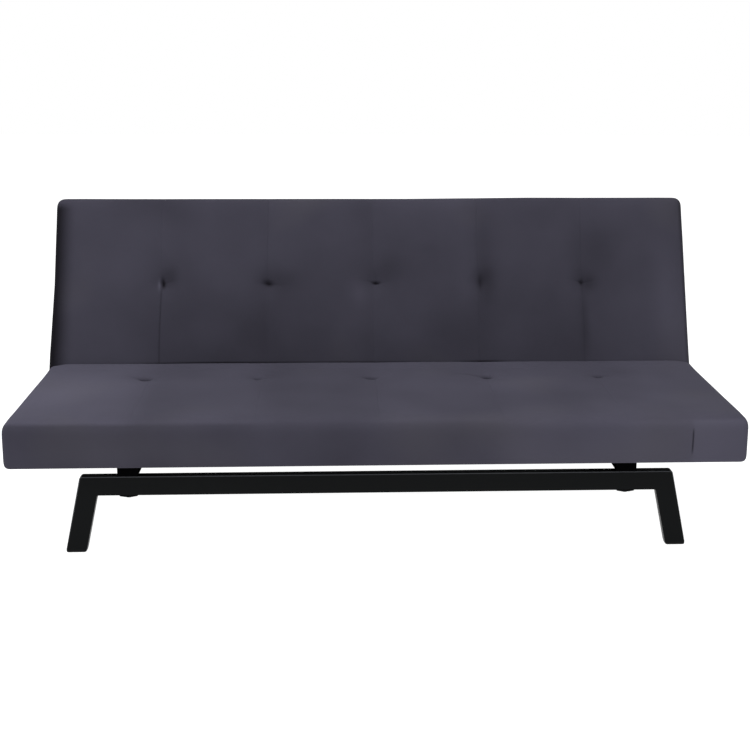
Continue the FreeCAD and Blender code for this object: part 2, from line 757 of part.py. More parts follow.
def hinge_arm():
    """Plate of the back's side: ratchet hub, cranked neck and a strip for the screws."""
    neck = [
        (0, ROOT_R),
        (ARM_TOP[0], HUB_R + ARM_TOP[1], PLATE_CORNER),
        ARM_WAIST + (PLATE_BEND,),
        (ARM_SHOULDER, ARM_HIGH, PLATE_CORNER),
        (ARM_STRIP[1], ARM_HIGH, PLATE_CORNER),
        (ARM_STRIP[1], ARM_LOW, PLATE_CORNER),
        (ARM_STRIP[0], ARM_LOW, PLATE_BEND),
        round_pivot(ROOT_R, ARM_HEEL),
    ]
    wide = ARM + CHEEK + FACE_GAP
    flat = side_plate(from_pivot(neck), WOOD_X, wide)
    hub = rod(HUB_R, V(ARM_X, PIVOT_Y, PIVOT_Z), V(ARM, 0, 0))
    crank = crank_strip(ARM)
    gaps = []
    for i in range(LOCKED_STOPS + 1):
        angle = NOSE_ANGLE - FLAT_TURN * (1 - i / LOCKED_STOPS)
        free = TOOTH_FREE + (0 if i else FORWARD_TURN)
        gaps.append(side_plate(from_pivot(tooth_gap(angle, free)), WOOD_X, wide))
    arm = flat.common(crank).fuse(hub).removeSplitter().cut(gaps)
    holes = cross_holes([(0, 0)], PIVOT_R + RUNNING, rod)
    holes += cross_holes(arm_screw_spots(), SCREW_R + RUNNING, hole)
    return arm.cut(holes)


def arm_screw_spots():
    spots = screw_spots(ARM_STRIP[0] + SCREW_MARGIN, ARM_STRIP[1] - SCREW_MARGIN)
    return [(y, z + ARM_RAISE) for y, z in spots]


def crank_strip(thick):
    """Strip seen from above, stepped from the ratchet's plane to the end rail's face."""
    start = PIVOT_Y - HUB_R - PAST
    stop = PIVOT_Y + ARM_STRIP[1] + PAST
    bend = (PIVOT_Y + JOGGLE[0], PIVOT_Y + JOGGLE[1])
    spots = [
        (ARM_X, start),
        (ARM_X, bend[0]),
        (WOOD_X, bend[1]),
        (WOOD_X, stop),
        (WOOD_X + thick, stop),
        (WOOD_X + thick, bend[1]),
        (ARM_X + thick, bend[0]),
        (ARM_X + thick, start),
    ]
    low = PIVOT_Z + ARM_LOW - PAST
    wire = Part.makePolygon([V(x, y, low) for x, y in spots + spots[:1]])
    return Part.Face(wire).extrude(UP * (HUB_R - ARM_LOW + 2 * PAST))


def pawl():
    """Catch that drops into the ratchet, drawn engaged and then turned to its lifted place."""
    nose = [
        round_pivot(ROOT_R + NOSE_PLAY, NOSE_ANGLE + NOSE_HALF),
        round_pivot(ROOT_R + NOSE_PLAY, NOSE_ANGLE - NOSE_HALF),
        round_pivot(HUB_R + NOSE_OUT, NOSE_ANGLE - NOSE_FLANK),
        (PAWL_PIN[0] + PAWL_PIN_R, PAWL_PIN[1] + PAWL_BOSS_R - BOSS_LAP[0]),
        (PAWL_PIN[0], PAWL_PIN[1] - PAWL_BOSS_R + BOSS_LAP[1]),
        round_pivot(HUB_R + NOSE_DEEP, NOSE_ANGLE + NOSE_FLANK) + (NOSE_HEEL,),
        round_pivot(HUB_R + NOSE_OUT, NOSE_ANGLE + NOSE_FLANK),
    ]
    thick = ARM - 2 * FACE_GAP
    x = ARM_X + FACE_GAP
    body = side_plate(from_pivot(nose), x, thick)
    pin = V(x, PIVOT_Y + PAWL_PIN[0], PIVOT_Z + PAWL_PIN[1])
    body = body.fuse(rod(PAWL_BOSS_R, pin, V(thick, 0, 0))).removeSplitter()
    body = body.cut(cross_holes([PAWL_PIN], PAWL_PIN_R + RUNNING, rod))
    body.rotate(pin, V(1, 0, 0), -PAWL_LIFT)
    return body


def rivet(spot, radius):
    """Headed pin across both cheeks, round where something turns on it."""
    x1 = OUTER_CHEEK_X + CHEEK
    base = V(0, PIVOT_Y + spot[0], PIVOT_Z + spot[1])
    shaft = rod(radius, base + V(WOOD_X, 0, 0), V(x1 - WOOD_X, 0, 0))
    profile = [
        (0, x1),
        (radius + RIVET_RIM[0], x1),
        (radius + RIVET_RIM[1], x1 + RIVET_HEAD),
        (0, x1 + RIVET_HEAD),
    ]
    return shaft.fuse(faceted(profile, base, V(1, 0, 0), RIVET_SIDES))


def spacer_rivet():
    """Headed pin with a shoulder that keeps the cheeks apart."""
    shoulder = SPACER_R + SPACER_SHOULDER
    inner = WOOD_X + CHEEK
    x1 = OUTER_CHEEK_X + CHEEK
    profile = [
        (0, WOOD_X),
        (SPACER_R, WOOD_X),
        (SPACER_R, inner),
        (shoulder, inner),
        (shoulder, OUTER_CHEEK_X),
        (SPACER_R, OUTER_CHEEK_X),
        (SPACER_R, x1),
        (SPACER_R + RIVET_RIM[0], x1),
        (SPACER_R + RIVET_RIM[1], x1 + RIVET_HEAD),
        (0, x1 + RIVET_HEAD),
    ]
    return faceted(profile, V(0, PIVOT_Y + SPACER[0], PIVOT_Z + SPACER[1]), V(1, 0, 0))

def wood_screw(spot, face):
    """Pan head wood screw into an end rail."""
    profile = [
        (0, WOOD_X - SCREW_LONG),
        (SCREW_ROOT_R, WOOD_X - SCREW_LONG + SCREW_TIP),
        (SCREW_ROOT_R, face),
        (SCREW_HEAD_R, face),
        (SCREW_HEAD_TOP_R, face + SCREW_HEAD),
        (0, face + SCREW_HEAD),
    ]
    return faceted(profile, V(0, PIVOT_Y + spot[0], PIVOT_Z + spot[1]), V(1, 0, 0))


def pawl_spring():
    """Flat hairpin spring round the spacer that grips the pawl's boss, and holds it in or out."""
    inner = PAWL_BOSS_R + RUNNING
    outer = inner + SPRING_THICK
    y0, z = SPACER
    y1 = PAWL_PIN[0] - SPRING_THICK
    strip = [
        (y1, z + inner),
        (y1, z + outer),
        (y0 - outer, z + outer, outer),
        (y0 - outer, z - outer, outer),
        (y1, z - outer),
        (y1, z - inner),
        (y0 - inner, z - inner, inner),
        (y0 - inner, z + inner, inner),
    ]
    return side_plate(from_pivot(strip), ARM_X + ARM / 2 - SPRING_WIDE / 2, SPRING_WIDE)


# Assembly


def seat_nodes():
    y0, y1 = frame_span(SEAT_BOX)
    strap_top = WOOD_Z + WOOD_HIGH + STRAP_THICK
    bays = hinge_bays(
        (
            PIVOT_Y - SEAT_STRIP - BAY_END,
            SEAT_DEPTH + FAR_PAST,
            PIVOT_Z + STRIP_LOW - BAY_LOW,
            PIVOT_Z + STRIP_HIGH + BAY_HIGH,
        )
    )
    cover, padding, ties = cushion_pieces(
        SEAT_BOX, SEAT_BULGES, SEAT_TUFT_ROW, (y0, y1), strap_top, bays
    )
    wood = wooden_frame(SEAT_BOX)
    boards = bearers(SEAT_BOX, WOOD_THICK)
    bolt_spots = [(side, y) for side in (-1, 1) for y in SEAT_BOLT_ROWS]
    board_holes = [
        hole(TEE_R + RUNNING, V(side * BAR_X, y, WOOD_Z - PAST), UP * (WOOD_THICK + 2 * PAST))
        for side, y in bolt_spots
    ]
    sheet_holes = [
        hole(SEAT_BOLT_R + PAST, V(side * BAR_X, y, SEAT_BASE - PAST), UP * (DUST_COVER + 2 * PAST))
        for side, y in bolt_spots
    ]
    top = WOOD_Z + WOOD_THICK
    return {
        "seat_cover": cover,
        "seat_padding": padding,
        "seat_tuft_ties": ties,
        "seat_dust_cover": dust_cover(SEAT_BOX, sheet_holes),
        "seat_front_rail": wood["near_rail"],
        "seat_rear_rail": wood["far_rail"],
        "seat_end_rail_left": wood["end_rail_left"],
        "seat_end_rail_right": wood["end_rail_right"],
        "seat_middle_rail": middle_rail(SEAT_BOX),
        "seat_bearers": group([board.cut(board_holes) for board in boards]),
        "seat_corner_blocks": wood["corner_blocks"],
        "seat_webbing": wood["webbing"],
        "seat_bolts": group([seat_bolt(side, y, top) for side, y in bolt_spots]),
        "seat_tee_nuts": group([tee_nut(side, y, top) for side, y in bolt_spots]),
    }


def back_nodes():
    y0, y1 = frame_span(BACK_BOX)
    strap_top = BACK_WOOD_Z + WOOD_HIGH + STRAP_THICK
    near = BACK_START - FAR_PAST
    low = PIVOT_Z + STRIP_LOW - BAY_LOW
    bays = hinge_bays(
        (near, PIVOT_Y + ARM_STRIP[1] + BAY_LOW, low, PIVOT_Z + ARM_HIGH + BAY_HIGH),
        (near, PIVOT_Y + ARM_SHOULDER, low, PIVOT_Z + BAY_FRONT),
    )
    cover, padding, ties = cushion_pieces(
        BACK_BOX, BACK_BULGES, PIVOT_Y + BACK_TUFT_ROW, (y0, y1), strap_top, bays
    )
    wood = wooden_frame(BACK_BOX)
    left_arm, right_arm = both_sides(hinge_arm())
    screws = [wood_screw(spot, WOOD_X + ARM) for spot in arm_screw_spots()]
    nodes = {
        "back_cover": cover,
        "back_padding": padding,
        "back_tuft_ties": ties,
        "back_dust_cover": dust_cover(BACK_BOX, []),
        "back_lower_rail": wood["near_rail"],
        "back_top_rail": wood["far_rail"],
        "back_end_rail_left": wood["end_rail_left"],
        "back_end_rail_right": wood["end_rail_right"],
        "back_middle_rail": middle_rail(BACK_BOX),
        "back_corner_blocks": wood["corner_blocks"],
        "back_webbing": wood["webbing"],
        "hinge_arm_left": left_arm,
        "hinge_arm_right": right_arm,
        "hinge_arm_screws": group([piece for screw in screws for piece in both_sides(screw)]),
    }
    for shape in nodes.values():
        shape.rotate(V(0, PIVOT_Y, PIVOT_Z), V(1, 0, 0), FLAT_TURN)
    return nodes


def base_nodes():
    bar_left, bar_right = both_sides(side_bar())
    plugs = [bar_plug(BAR_START, 1), bar_plug(BAR_STOP, -1)]
    frames_y = (FRONT_FRAME_Y, REAR_FRAME_Y)
    bolt_rows = frame_bolt_rows()
    sides = (-1, 1)
    return {
        "front_leg_frame": leg_frame(FRONT_FRAME_Y),
        "rear_leg_frame": leg_frame(REAR_FRAME_Y),
        "foot_caps": group([foot_cap(side, y) for side in sides for y in frames_y]),
        "side_bar_left": bar_left,
        "side_bar_right": bar_right,
        "side_bar_plugs": group([piece for plug in plugs for piece in both_sides(plug)]),
        "frame_saddles": group([saddle(side, y) for side in sides for y in frames_y]),
        "frame_bolts": group([frame_bolt(side, y) for side in sides for y in bolt_rows]),
        "frame_rivet_nuts": group([rivet_nut(side, y) for side in sides for y in bolt_rows]),
    }


def hinge_nodes():
    nodes = {}
    for name, right in {"hinge_seat_plate": seat_plate(), "pawl": pawl()}.items():
        nodes[name + "_left"], nodes[name + "_right"] = both_sides(right)
    pairs = {
        "hinge_outer_cheeks": outer_cheek(),
        "hinge_pivots": rivet((0, 0), PIVOT_R),
        "hinge_spacers": spacer_rivet(),
        "pawl_pins": rivet(PAWL_PIN, PAWL_PIN_R),
        "pawl_springs": pawl_spring(),
    }
    for name, right in pairs.items():
        nodes[name] = group(list(both_sides(right)))
    screws = [wood_screw(spot, WOOD_X + CHEEK) for spot in seat_screw_spots()]
    nodes["hinge_seat_screws"] = group([piece for screw in screws for piece in both_sides(screw)])
    return nodes


def main():
    nodes = {}
    for made in (base_nodes(), seat_nodes(), hinge_nodes(), back_nodes()):
        nodes.update(made)
    whole = FreeCAD.BoundBox()
    for shape in nodes.values():
        whole.add(shape.BoundBox)
    to_middle = V(0, -(whole.YMin + whole.YMax) / 2, 0)
    os.makedirs("parts", exist_ok=True)
    for name, shape in nodes.items():
        shape.translate(to_middle)
        shape.exportStep("parts/" + name + ".step")
    print("size", whole.XLength, whole.YLength, whole.ZLength, "lowest", whole.ZMin)
    print("moved by", to_middle.y, "pivot", PIVOT_Y + to_middle.y, PIVOT_Z)
    print("pawl pin", PIVOT_Y + PAWL_PIN[0] + to_middle.y, PIVOT_Z + PAWL_PIN[1])


main()
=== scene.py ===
"""Click clack sofa bed: velvet seat and back on black steel leg frames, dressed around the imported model."""

import functools
import json
import math
import typing

import bmesh
import bpy
import numpy as np
from mathutils import Matrix, Vector


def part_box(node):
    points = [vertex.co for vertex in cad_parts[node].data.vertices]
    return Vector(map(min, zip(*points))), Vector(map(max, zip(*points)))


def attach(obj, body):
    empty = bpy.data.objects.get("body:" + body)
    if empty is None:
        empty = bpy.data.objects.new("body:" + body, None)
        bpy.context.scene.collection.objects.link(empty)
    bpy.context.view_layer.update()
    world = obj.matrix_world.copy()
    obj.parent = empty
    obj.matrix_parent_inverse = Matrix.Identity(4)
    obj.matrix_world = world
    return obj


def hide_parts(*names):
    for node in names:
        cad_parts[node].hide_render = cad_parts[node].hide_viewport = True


bl_info = {
    "name": "Click clack sofa bed",
    "version": (1, 0, 0),
    "blender": (4, 5, 0),
    "location": "View3D > Sidebar > Sofa bed",
    "description": "Velvet cushions, steel base, hinges and studio for a click clack sofa bed",
    "category": "Object",
}

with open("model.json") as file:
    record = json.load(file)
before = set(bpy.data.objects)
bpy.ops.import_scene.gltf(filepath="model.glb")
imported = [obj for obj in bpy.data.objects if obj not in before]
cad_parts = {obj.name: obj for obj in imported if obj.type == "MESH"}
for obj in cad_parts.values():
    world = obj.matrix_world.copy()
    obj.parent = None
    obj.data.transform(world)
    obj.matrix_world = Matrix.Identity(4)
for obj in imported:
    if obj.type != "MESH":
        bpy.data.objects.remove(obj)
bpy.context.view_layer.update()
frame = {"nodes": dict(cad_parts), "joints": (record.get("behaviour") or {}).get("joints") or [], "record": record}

MM = 0.001
STILL = Matrix.Identity(4)
BACKREST = next(j for j in frame["joints"] if j["name"] == "backrest")
PIVOT = Vector(BACKREST["pos_m"])
FLAT_TURN = math.radians(BACKREST["range_deg"][1])
TO_FLAT = Matrix.Translation(PIVOT) @ Matrix.Rotation(-FLAT_TURN, 4, "X") @ Matrix.Translation(-PIVOT)
TO_LEAN = TO_FLAT.inverted()
LAID = {"base": STILL, "back": TO_FLAT}  # turn that lays each body's pieces flat


def corners(node, turn=STILL):
    """Lowest and highest corner of a node after a turn, such as the back's with the bed laid flat."""
    points = np.array([turn @ v.co for v in frame["nodes"][node].data.vertices])
    return Vector(points.min(0)), Vector(points.max(0))


SEAT_LO, SEAT_HI = corners("seat_cover")
BACK_LO, BACK_HI = corners("back_cover", TO_FLAT)
SEAT_ROW = sum(corner.y for corner in corners("seat_tuft_ties")) / 2
BACK_ROW = sum(corner.y for corner in corners("back_tuft_ties", TO_FLAT)) / 2
PANELS = 6
SEAMS = [(SEAT_HI.x - SEAT_LO.x) * (i / PANELS - 0.5) for i in range(1, PANELS)]


# Settings that a user would change


class CushionSettings(bpy.types.PropertyGroup):
    swell: bpy.props.FloatProperty(
        name="Swell", description="How far the stuffing may push the cover out",
        default=3 * MM, min=0, max=0.03, unit="LENGTH")
    sideways: bpy.props.FloatVectorProperty(
        name="Sideways", description="Share of the simulated movement that is kept along each axis",
        default=(0.4, 0.4, 1.0), min=0, max=1)
    hold: bpy.props.FloatProperty(
        name="Hold", description="How firmly the foam keeps its own shape in the simulation", default=1.0, min=0)
    pressure: bpy.props.FloatProperty(
        name="Pressure", description="Pressure of the stuffing in the cloth simulation", default=4.0, min=0)
    frames: bpy.props.IntProperty(
        name="Frames", description="Length of the cloth simulation", default=20, min=1, max=60)
    edge_round: bpy.props.FloatProperty(
        name="Edge rounding", description="Radius of the padded edges", default=15 * MM, unit="LENGTH")
    tuft_depth: bpy.props.FloatProperty(
        name="Tuft depth", description="How deep the ties draw the cover in", default=11 * MM, unit="LENGTH")
    tuft_reach: bpy.props.FloatProperty(
        name="Tuft reach", description="Radius of the dish round a tuft", default=44 * MM, unit="LENGTH")
    seam_depth: bpy.props.FloatProperty(
        name="Seam depth", description="Depth of the sewn seams between panels", default=0.8 * MM, unit="LENGTH")
    seam_width: bpy.props.FloatProperty(
        name="Seam width", description="Half width of the sewn seams", default=2.4 * MM, unit="LENGTH")
    crown: bpy.props.FloatProperty(
        name="Crown", description="Rise of each panel between its seams", default=2.5 * MM, unit="LENGTH")


class FinishSettings(bpy.types.PropertyGroup):
    # The velvet's two ends of tone; the tone between them takes in the pile and also painted highlights and painted
    # shade
    velvet_deep: bpy.props.FloatVectorProperty(
        name="Velvet, deep", description="Velvet where the pile is brushed up", subtype="COLOR",
        default=(0.0115, 0.0108, 0.0150), min=0, max=1)
    velvet_light: bpy.props.FloatVectorProperty(
        name="Velvet, light", description="Velvet where the pile is brushed down", subtype="COLOR",
        default=(0.068, 0.065, 0.090), min=0, max=1)
    frame_black: bpy.props.FloatVectorProperty(
        name="Powder coat", description="Satin black of the steel base", subtype="COLOR",
        default=(0.0022, 0.0026, 0.0029), min=0, max=1)
    wood: bpy.props.FloatVectorProperty(
        name="Timber", description="Planed softwood of the inner frames", subtype="COLOR",
        default=(0.52, 0.35, 0.19), min=0, max=1)


class StudioSettings(bpy.types.PropertyGroup):
    key: bpy.props.FloatProperty(
        name="Key light", description="Power of the soft box above the front", default=95.0, min=0)
    side: bpy.props.FloatProperty(
        name="Side light", description="Power of the soft box at the left", default=34.0, min=0)
    world: bpy.props.FloatProperty(
        name="Room light", description="Strength of the light from all round", default=0.62, min=0)
    floor: bpy.props.FloatProperty(
        name="Floor", description="Whiteness of the floor", default=0.3, min=0, max=1)
    glow: bpy.props.FloatProperty(
        name="Floor glow", description="Light of the floor itself, which keeps shadows faint", default=0.96, min=0)
    top: bpy.props.FloatProperty(
        name="Top light", description="Power of the soft box overhead", default=60.0, min=0)


# Nodes and shader maths


def add_node(tree, kind, settings=None, inputs=None):
    """Adds a node: its settings first, then the values or links of its sockets."""
    node = tree.nodes.new(kind)
    for key, value in (settings or {}).items():
        setattr(node, key, value)
    for key, value in (inputs or {}).items():
        if isinstance(value, bpy.types.NodeSocket):
            tree.links.new(value, node.inputs[key])
        else:
            node.inputs[key].default_value = value
    return node


class Value:
    """A socket of a finish's node tree, on which Python's operators add Math nodes."""

    def __init__(self, finish, socket):
        self.finish = finish
        self.socket = socket

    def _math(self, operation, *values):
        return self.finish.add("ShaderNodeMath", {"operation": operation}, dict(enumerate(values)))

    def __add__(self, other):
        return self._math("ADD", self, other)

    __radd__ = __add__

    def __sub__(self, other):
        return self._math("SUBTRACT", self, other)

    def __rsub__(self, other):
        return self._math("SUBTRACT", other, self)

    def __mul__(self, other):
        return self._math("MULTIPLY", self, other)

    __rmul__ = __mul__

    def clamp(self):
        return self._math("MINIMUM", self._math("MAXIMUM", self, 0.0), 1.0)


class Finish:
    """A material and the one way to add nodes to it."""

    def __init__(self, name):
        self.material = bpy.data.materials.new(name)
        self.material.use_nodes = True
        self.tree = self.material.node_tree
        self.tree.nodes.clear()
        self.spot = self.add("ShaderNodeTexCoord", out="Object")

    def add(self, kind, settings=None, inputs=None, out=0):
        inputs = {key: getattr(value, "socket", value) for key, value in (inputs or {}).items()}
        node = add_node(self.tree, kind, settings, inputs)
        return Value(self, node.outputs[out]) if node.outputs else None

    def attribute(self, name):
        return self.add("ShaderNodeAttribute", {"attribute_name": name}, out="Fac")

    def stretched(self, scale):
        return self.add("ShaderNodeMapping", None, {"Vector": self.spot, "Scale": scale})

    def noise(self, scale, detail=2.0, rough=0.5, stretch=(1, 1, 1)):
        inputs = {"Vector": self.stretched(stretch), "Scale": scale, "Detail": detail, "Roughness": rough}
        return self.add("ShaderNodeTexNoise", None, inputs)

    def wave(self, direction, vector, scale, **sockets):
        return self.add("ShaderNodeTexWave", {"bands_direction": direction}, {
            "Vector": vector, "Scale": scale, **{key.replace("_", " "): value for key, value in sockets.items()}})

    def mix(self, share, a, b):
        """Blend of two colours, by the Mix node's sockets for colour."""
        a, b = (c if isinstance(c, Value) else tuple(c) + (1.0,) for c in (a, b))
        return self.add("ShaderNodeMix", {"data_type": "RGBA"}, {0: share, 6: a, 7: b}, out=2)

    def bump(self, height, depth, strength):
        return self.add("ShaderNodeBump", None, {"Height": height, "Distance": depth, "Strength": strength})

    def surface(self, **sockets):
        """Closes the tree with the surface shader; sockets are named with underscores."""
        inputs = {
            key.replace("_", " "): tuple(value) + (1.0,) if hasattr(value, "__len__") else value
            for key, value in sockets.items()}
        shader = self.add("ShaderNodeBsdfPrincipled", None, inputs)
        self.add("ShaderNodeOutputMaterial", None, {"Surface": shader})


def velvet(settings):
    """Short cut pile: clouds of brushed pile, each panel's tone with painted highlights and shade, a warmer cast in
    places, painted shade in tufts, seams and creases and along edges, and a soft sheen.
    """
    warm_cast, painted_shade_colour = (0.060, 0.057, 0.058), (0.0040, 0.0036, 0.0052)
    f = Finish("cut_velvet")
    cloud = f.noise(2.4) * 0.75 + f.noise(9.0, 3.0) * 0.25
    # Tone: the pile's own shade together with painted highlights and painted shade
    share = (cloud - 0.5) * 0.5 + f.attribute("pile_and_painted_light")
    colour = f.mix(share.clamp(), settings.velvet_deep, settings.velvet_light)
    warm = f.noise(2.1, stretch=(1.0, 1.3, 1.2))
    colour = f.mix((warm - 0.54).clamp() * 1.2, colour, warm_cast)
    # Painted shade in tufts, seams and creases, down the back's left edge and where the seat meets the back
    colour = f.mix(f.attribute("painted_shade").clamp(), colour, painted_shade_colour)
    nap = f.noise(1500.0, rough=0.6) * 0.7 + f.noise(420.0, rough=0.6) * 0.3
    f.surface(
        Base_Color=colour, Roughness=0.92, Specular_IOR_Level=0.05, Sheen_Weight=0.03, Sheen_Roughness=0.45,
        Sheen_Tint=(0.7, 0.7, 0.85), Normal=f.bump(nap * 0.8 + f.noise(34.0) * 0.5, 0.0012, 0.35))


def powder_coat(name, colour, rough=0.36, shine=0.06):
    """Satin coat with a fine orange peel, and a painted highlight along the rounded edges that a piece marks."""
    edge_highlight_colour = (0.075, 0.078, 0.086)
    f = Finish(name)
    worn = (f.noise(9.0, 4.0, 0.6) - 0.58).clamp() * 0.5
    base = f.mix(worn, colour, [c * 2.2 + 0.004 for c in colour])
    f.surface(
        Base_Color=f.mix(f.attribute("edge_highlight"), base, edge_highlight_colour), Roughness=f.noise(30.0, 3.0) * 0.14 + (rough - 0.07),
        Specular_IOR_Level=shine, Normal=f.bump(f.noise(900.0), 0.0004, 0.25))


def moulded_plastic(name, colour, rough, shine):
    """Grained black plastic."""
    f = Finish(name)
    grain = f.noise(700.0, 3.0, 0.6)
    base = f.mix(f.noise(14.0) * 0.5, colour, [c * 2 for c in colour])
    f.surface(
        Base_Color=base, Roughness=grain * 0.15 + rough, Specular_IOR_Level=shine, Normal=f.bump(grain, 0.0005, 0.3))


def zinc_plate():
    """Bright zinc with a faint spangle."""
    f = Finish("zinc_plate")
    spangle = f.noise(160.0, 3.0, 0.6)
    base = f.mix(spangle, (0.42, 0.43, 0.44), (0.66, 0.66, 0.64))
    f.surface(Base_Color=base, Metallic=1.0, Roughness=spangle * 0.25 + 0.25, Normal=f.bump(spangle, 0.0003, 0.2))


def timber(settings):
    """Planed softwood with grain along X on the rails."""
    f = Finish("timber")
    rings = f.wave("Z", f.stretched((0.35, 5.0, 14.0)), 4.0, Distortion=5.0, Detail=3.0, Detail_Scale=1.4)
    fibre = f.noise(60.0, 5.0, 0.6, (0.5, 9.0, 9.0))
    dark = [c * 0.62 for c in settings.wood]
    base = f.mix(rings * 0.55 + fibre * 0.3, dark, settings.wood)
    f.surface(Base_Color=base, Roughness=fibre * 0.2 + 0.55, Normal=f.bump(fibre, 0.0006, 0.4))


def woven(name, dark, light, pitch):
    """Plain woven or spunbonded cloth, as crossed waves at the thread's pitch."""
    f = Finish(name)
    scale = math.tau / 20 / pitch  # a wave is tau / 20 long at scale 1
    weave = f.wave("X", f.spot, scale) * f.wave("Y", f.spot, scale)
    base = f.mix(weave * 0.6 + f.noise(26.0, 3.0) * 0.4, dark, light)
    f.surface(Base_Color=base, Roughness=0.9, Specular_IOR_Level=0.2, Normal=f.bump(weave, pitch / 4, 0.4))


# Curves


def ramp(value, start, stop):
    """Share from 0 at the start to 1 at the stop."""
    return np.clip((value - start) / (stop - start), 0, 1)


def eased(share):
    """The same share with a soft start and stop."""
    return share * share * (3 - 2 * share)


def bell(value, width):
    """Hump of height 1 round zero."""
    return np.exp(-((value / width) ** 2))


def wander(x, y, seed, size):
    """Smooth made-up unevenness between about -1 and 1, from a few seeded waves."""
    chance = np.random.default_rng(seed)
    total = np.zeros_like(x)
    for _ in range(7):
        angle = chance.uniform(0, math.tau)
        wave = chance.uniform(0.6, 1.5) * math.tau / size
        total += np.sin((x * math.cos(angle) + y * math.sin(angle)) * wave + chance.uniform(0, math.tau))
    return total / 7


# Meshes


def add_piece(name, points, faces, finish=None, smooth=True):
    """New object at the origin from metres in the row frame."""
    mesh = bpy.data.meshes.new(name)
    mesh.from_pydata([tuple(point) for point in points], [], faces)
    mesh.validate()
    piece = bpy.data.objects.new(name, mesh)
    bpy.context.scene.collection.objects.link(piece)
    if finish:
        mesh.materials.append(bpy.data.materials[finish])
    mesh.polygons.foreach_set("use_smooth", [smooth] * len(mesh.polygons))
    return piece


def finish_piece(piece, body, slot, *nodes):
    """Lets a piece ride on its body and hides the nodes that it replaces; the slot is not used."""
    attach(piece, body)
    if nodes:
        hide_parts(*nodes)
    return piece


def baked(piece):
    """Plain mesh of a piece with its modifiers, in place of the old one."""
    graph = bpy.context.evaluated_depsgraph_get()
    mesh = bpy.data.meshes.new_from_object(piece.evaluated_get(graph))
    piece.modifiers.clear()
    piece.data = mesh
    return piece


def positions(piece):
    flat = np.zeros(len(piece.data.vertices) * 3)
    piece.data.vertices.foreach_get("co", flat)
    return flat.reshape(-1, 3)


def set_positions(piece, points):
    piece.data.vertices.foreach_set("co", np.asarray(points, float).ravel())
    piece.data.update()


def set_values(piece, name, values):
    """Stores a number at each point, such as how much painted shade lies in a fold."""
    attribute = piece.data.attributes.new(name, "FLOAT", "POINT")
    attribute.data.foreach_set("value", np.asarray(values, np.float32))


def turn_piece(piece, matrix):
    piece.data.transform(matrix)
    piece.data.update()


def merged_shell(mesh):
    """A mesh with its doubled points merged, open for editing."""
    shell = bmesh.new()
    shell.from_mesh(mesh)
    bmesh.ops.remove_doubles(shell, verts=shell.verts, dist=1e-6)
    return shell


def outward(piece):
    """Makes a closed shell's faces point outwards."""
    shell = merged_shell(piece.data)
    bmesh.ops.recalc_face_normals(shell, faces=shell.faces)
    shell.to_mesh(piece.data)
    shell.free()
    return piece


def ring_faces(rows, count, start=0):
    """Quads that join each ring of points to the next."""
    return [
        (a + i, a + (i + 1) % count, a + count + (i + 1) % count, a + count + i)
        for a in range(start, start + rows * count, count) for i in range(count)]


def box_grid(xs, ys, zs):
    """Vertices and quads of a box's surface, on the given stations."""
    index = {}
    points = []
    faces = []
    nx, ny, nz = len(xs) - 1, len(ys) - 1, len(zs) - 1

    def at(i, j, k):
        key = (i, j, k)
        if key not in index:
            index[key] = len(points)
            points.append((xs[i], ys[j], zs[k]))
        return index[key]

    for i in range(nx):
        for j in range(ny):
            faces.append((at(i, j, 0), at(i, j + 1, 0), at(i + 1, j + 1, 0), at(i + 1, j, 0)))
            faces.append((at(i, j, nz), at(i + 1, j, nz), at(i + 1, j + 1, nz), at(i, j + 1, nz)))
        for k in range(nz):
            faces.append((at(i, 0, k), at(i + 1, 0, k), at(i + 1, 0, k + 1), at(i, 0, k + 1)))
            faces.append((at(i, ny, k), at(i, ny, k + 1), at(i + 1, ny, k + 1), at(i + 1, ny, k)))
    for j in range(ny):
        for k in range(nz):
            faces.append((at(0, j, k), at(0, j, k + 1), at(0, j + 1, k + 1), at(0, j + 1, k)))
            faces.append((at(nx, j, k), at(nx, j + 1, k), at(nx, j + 1, k + 1), at(nx, j, k + 1)))
    return np.array(points), faces


def rounded(points, lo, hi, radii):
    """Draws a box's surface in to round edges, with a radius along each axis at each point."""
    inner = np.clip(points, np.array(lo) + radii, np.array(hi) - radii)
    away = (points - inner) / radii
    length = np.linalg.norm(away, axis=1, keepdims=True)
    return inner + away / np.maximum(length, 1e-9) * radii


# The cushions' cover

# Along each axis: pitch of the grid, its pitch near edges and seams, and how far that reaches
GRID = ((15 * MM, 3 * MM, 15 * MM), (14 * MM, 4 * MM, 18 * MM), (11 * MM, 4.5 * MM, 12 * MM))
EVEN_PITCH = 15 * MM
CLOTH = {
    "quality": 6, "mass": 0.35, "tension_stiffness": 14, "compression_stiffness": 14, "shear_stiffness": 5,
    "bending_stiffness": 1.5, "use_pressure": True, "vertex_group_mass": "held",
}


def graded(lo, hi, spots, pitch, fine, reach):
    """Stations from lo to hi, a pitch apart and closer near the given spots."""
    run = np.linspace(lo, hi, 4001)
    density = np.full_like(run, 1 / pitch)
    for spot in spots:
        density += (1 / fine - 1 / pitch) * bell(run - spot, reach)
    total = np.concatenate([[0], np.cumsum((density[1:] + density[:-1]) / 2 * np.diff(run))])
    count = max(2, round(total[-1]))
    return np.interp(np.linspace(0, total[-1], count + 1), total, run)


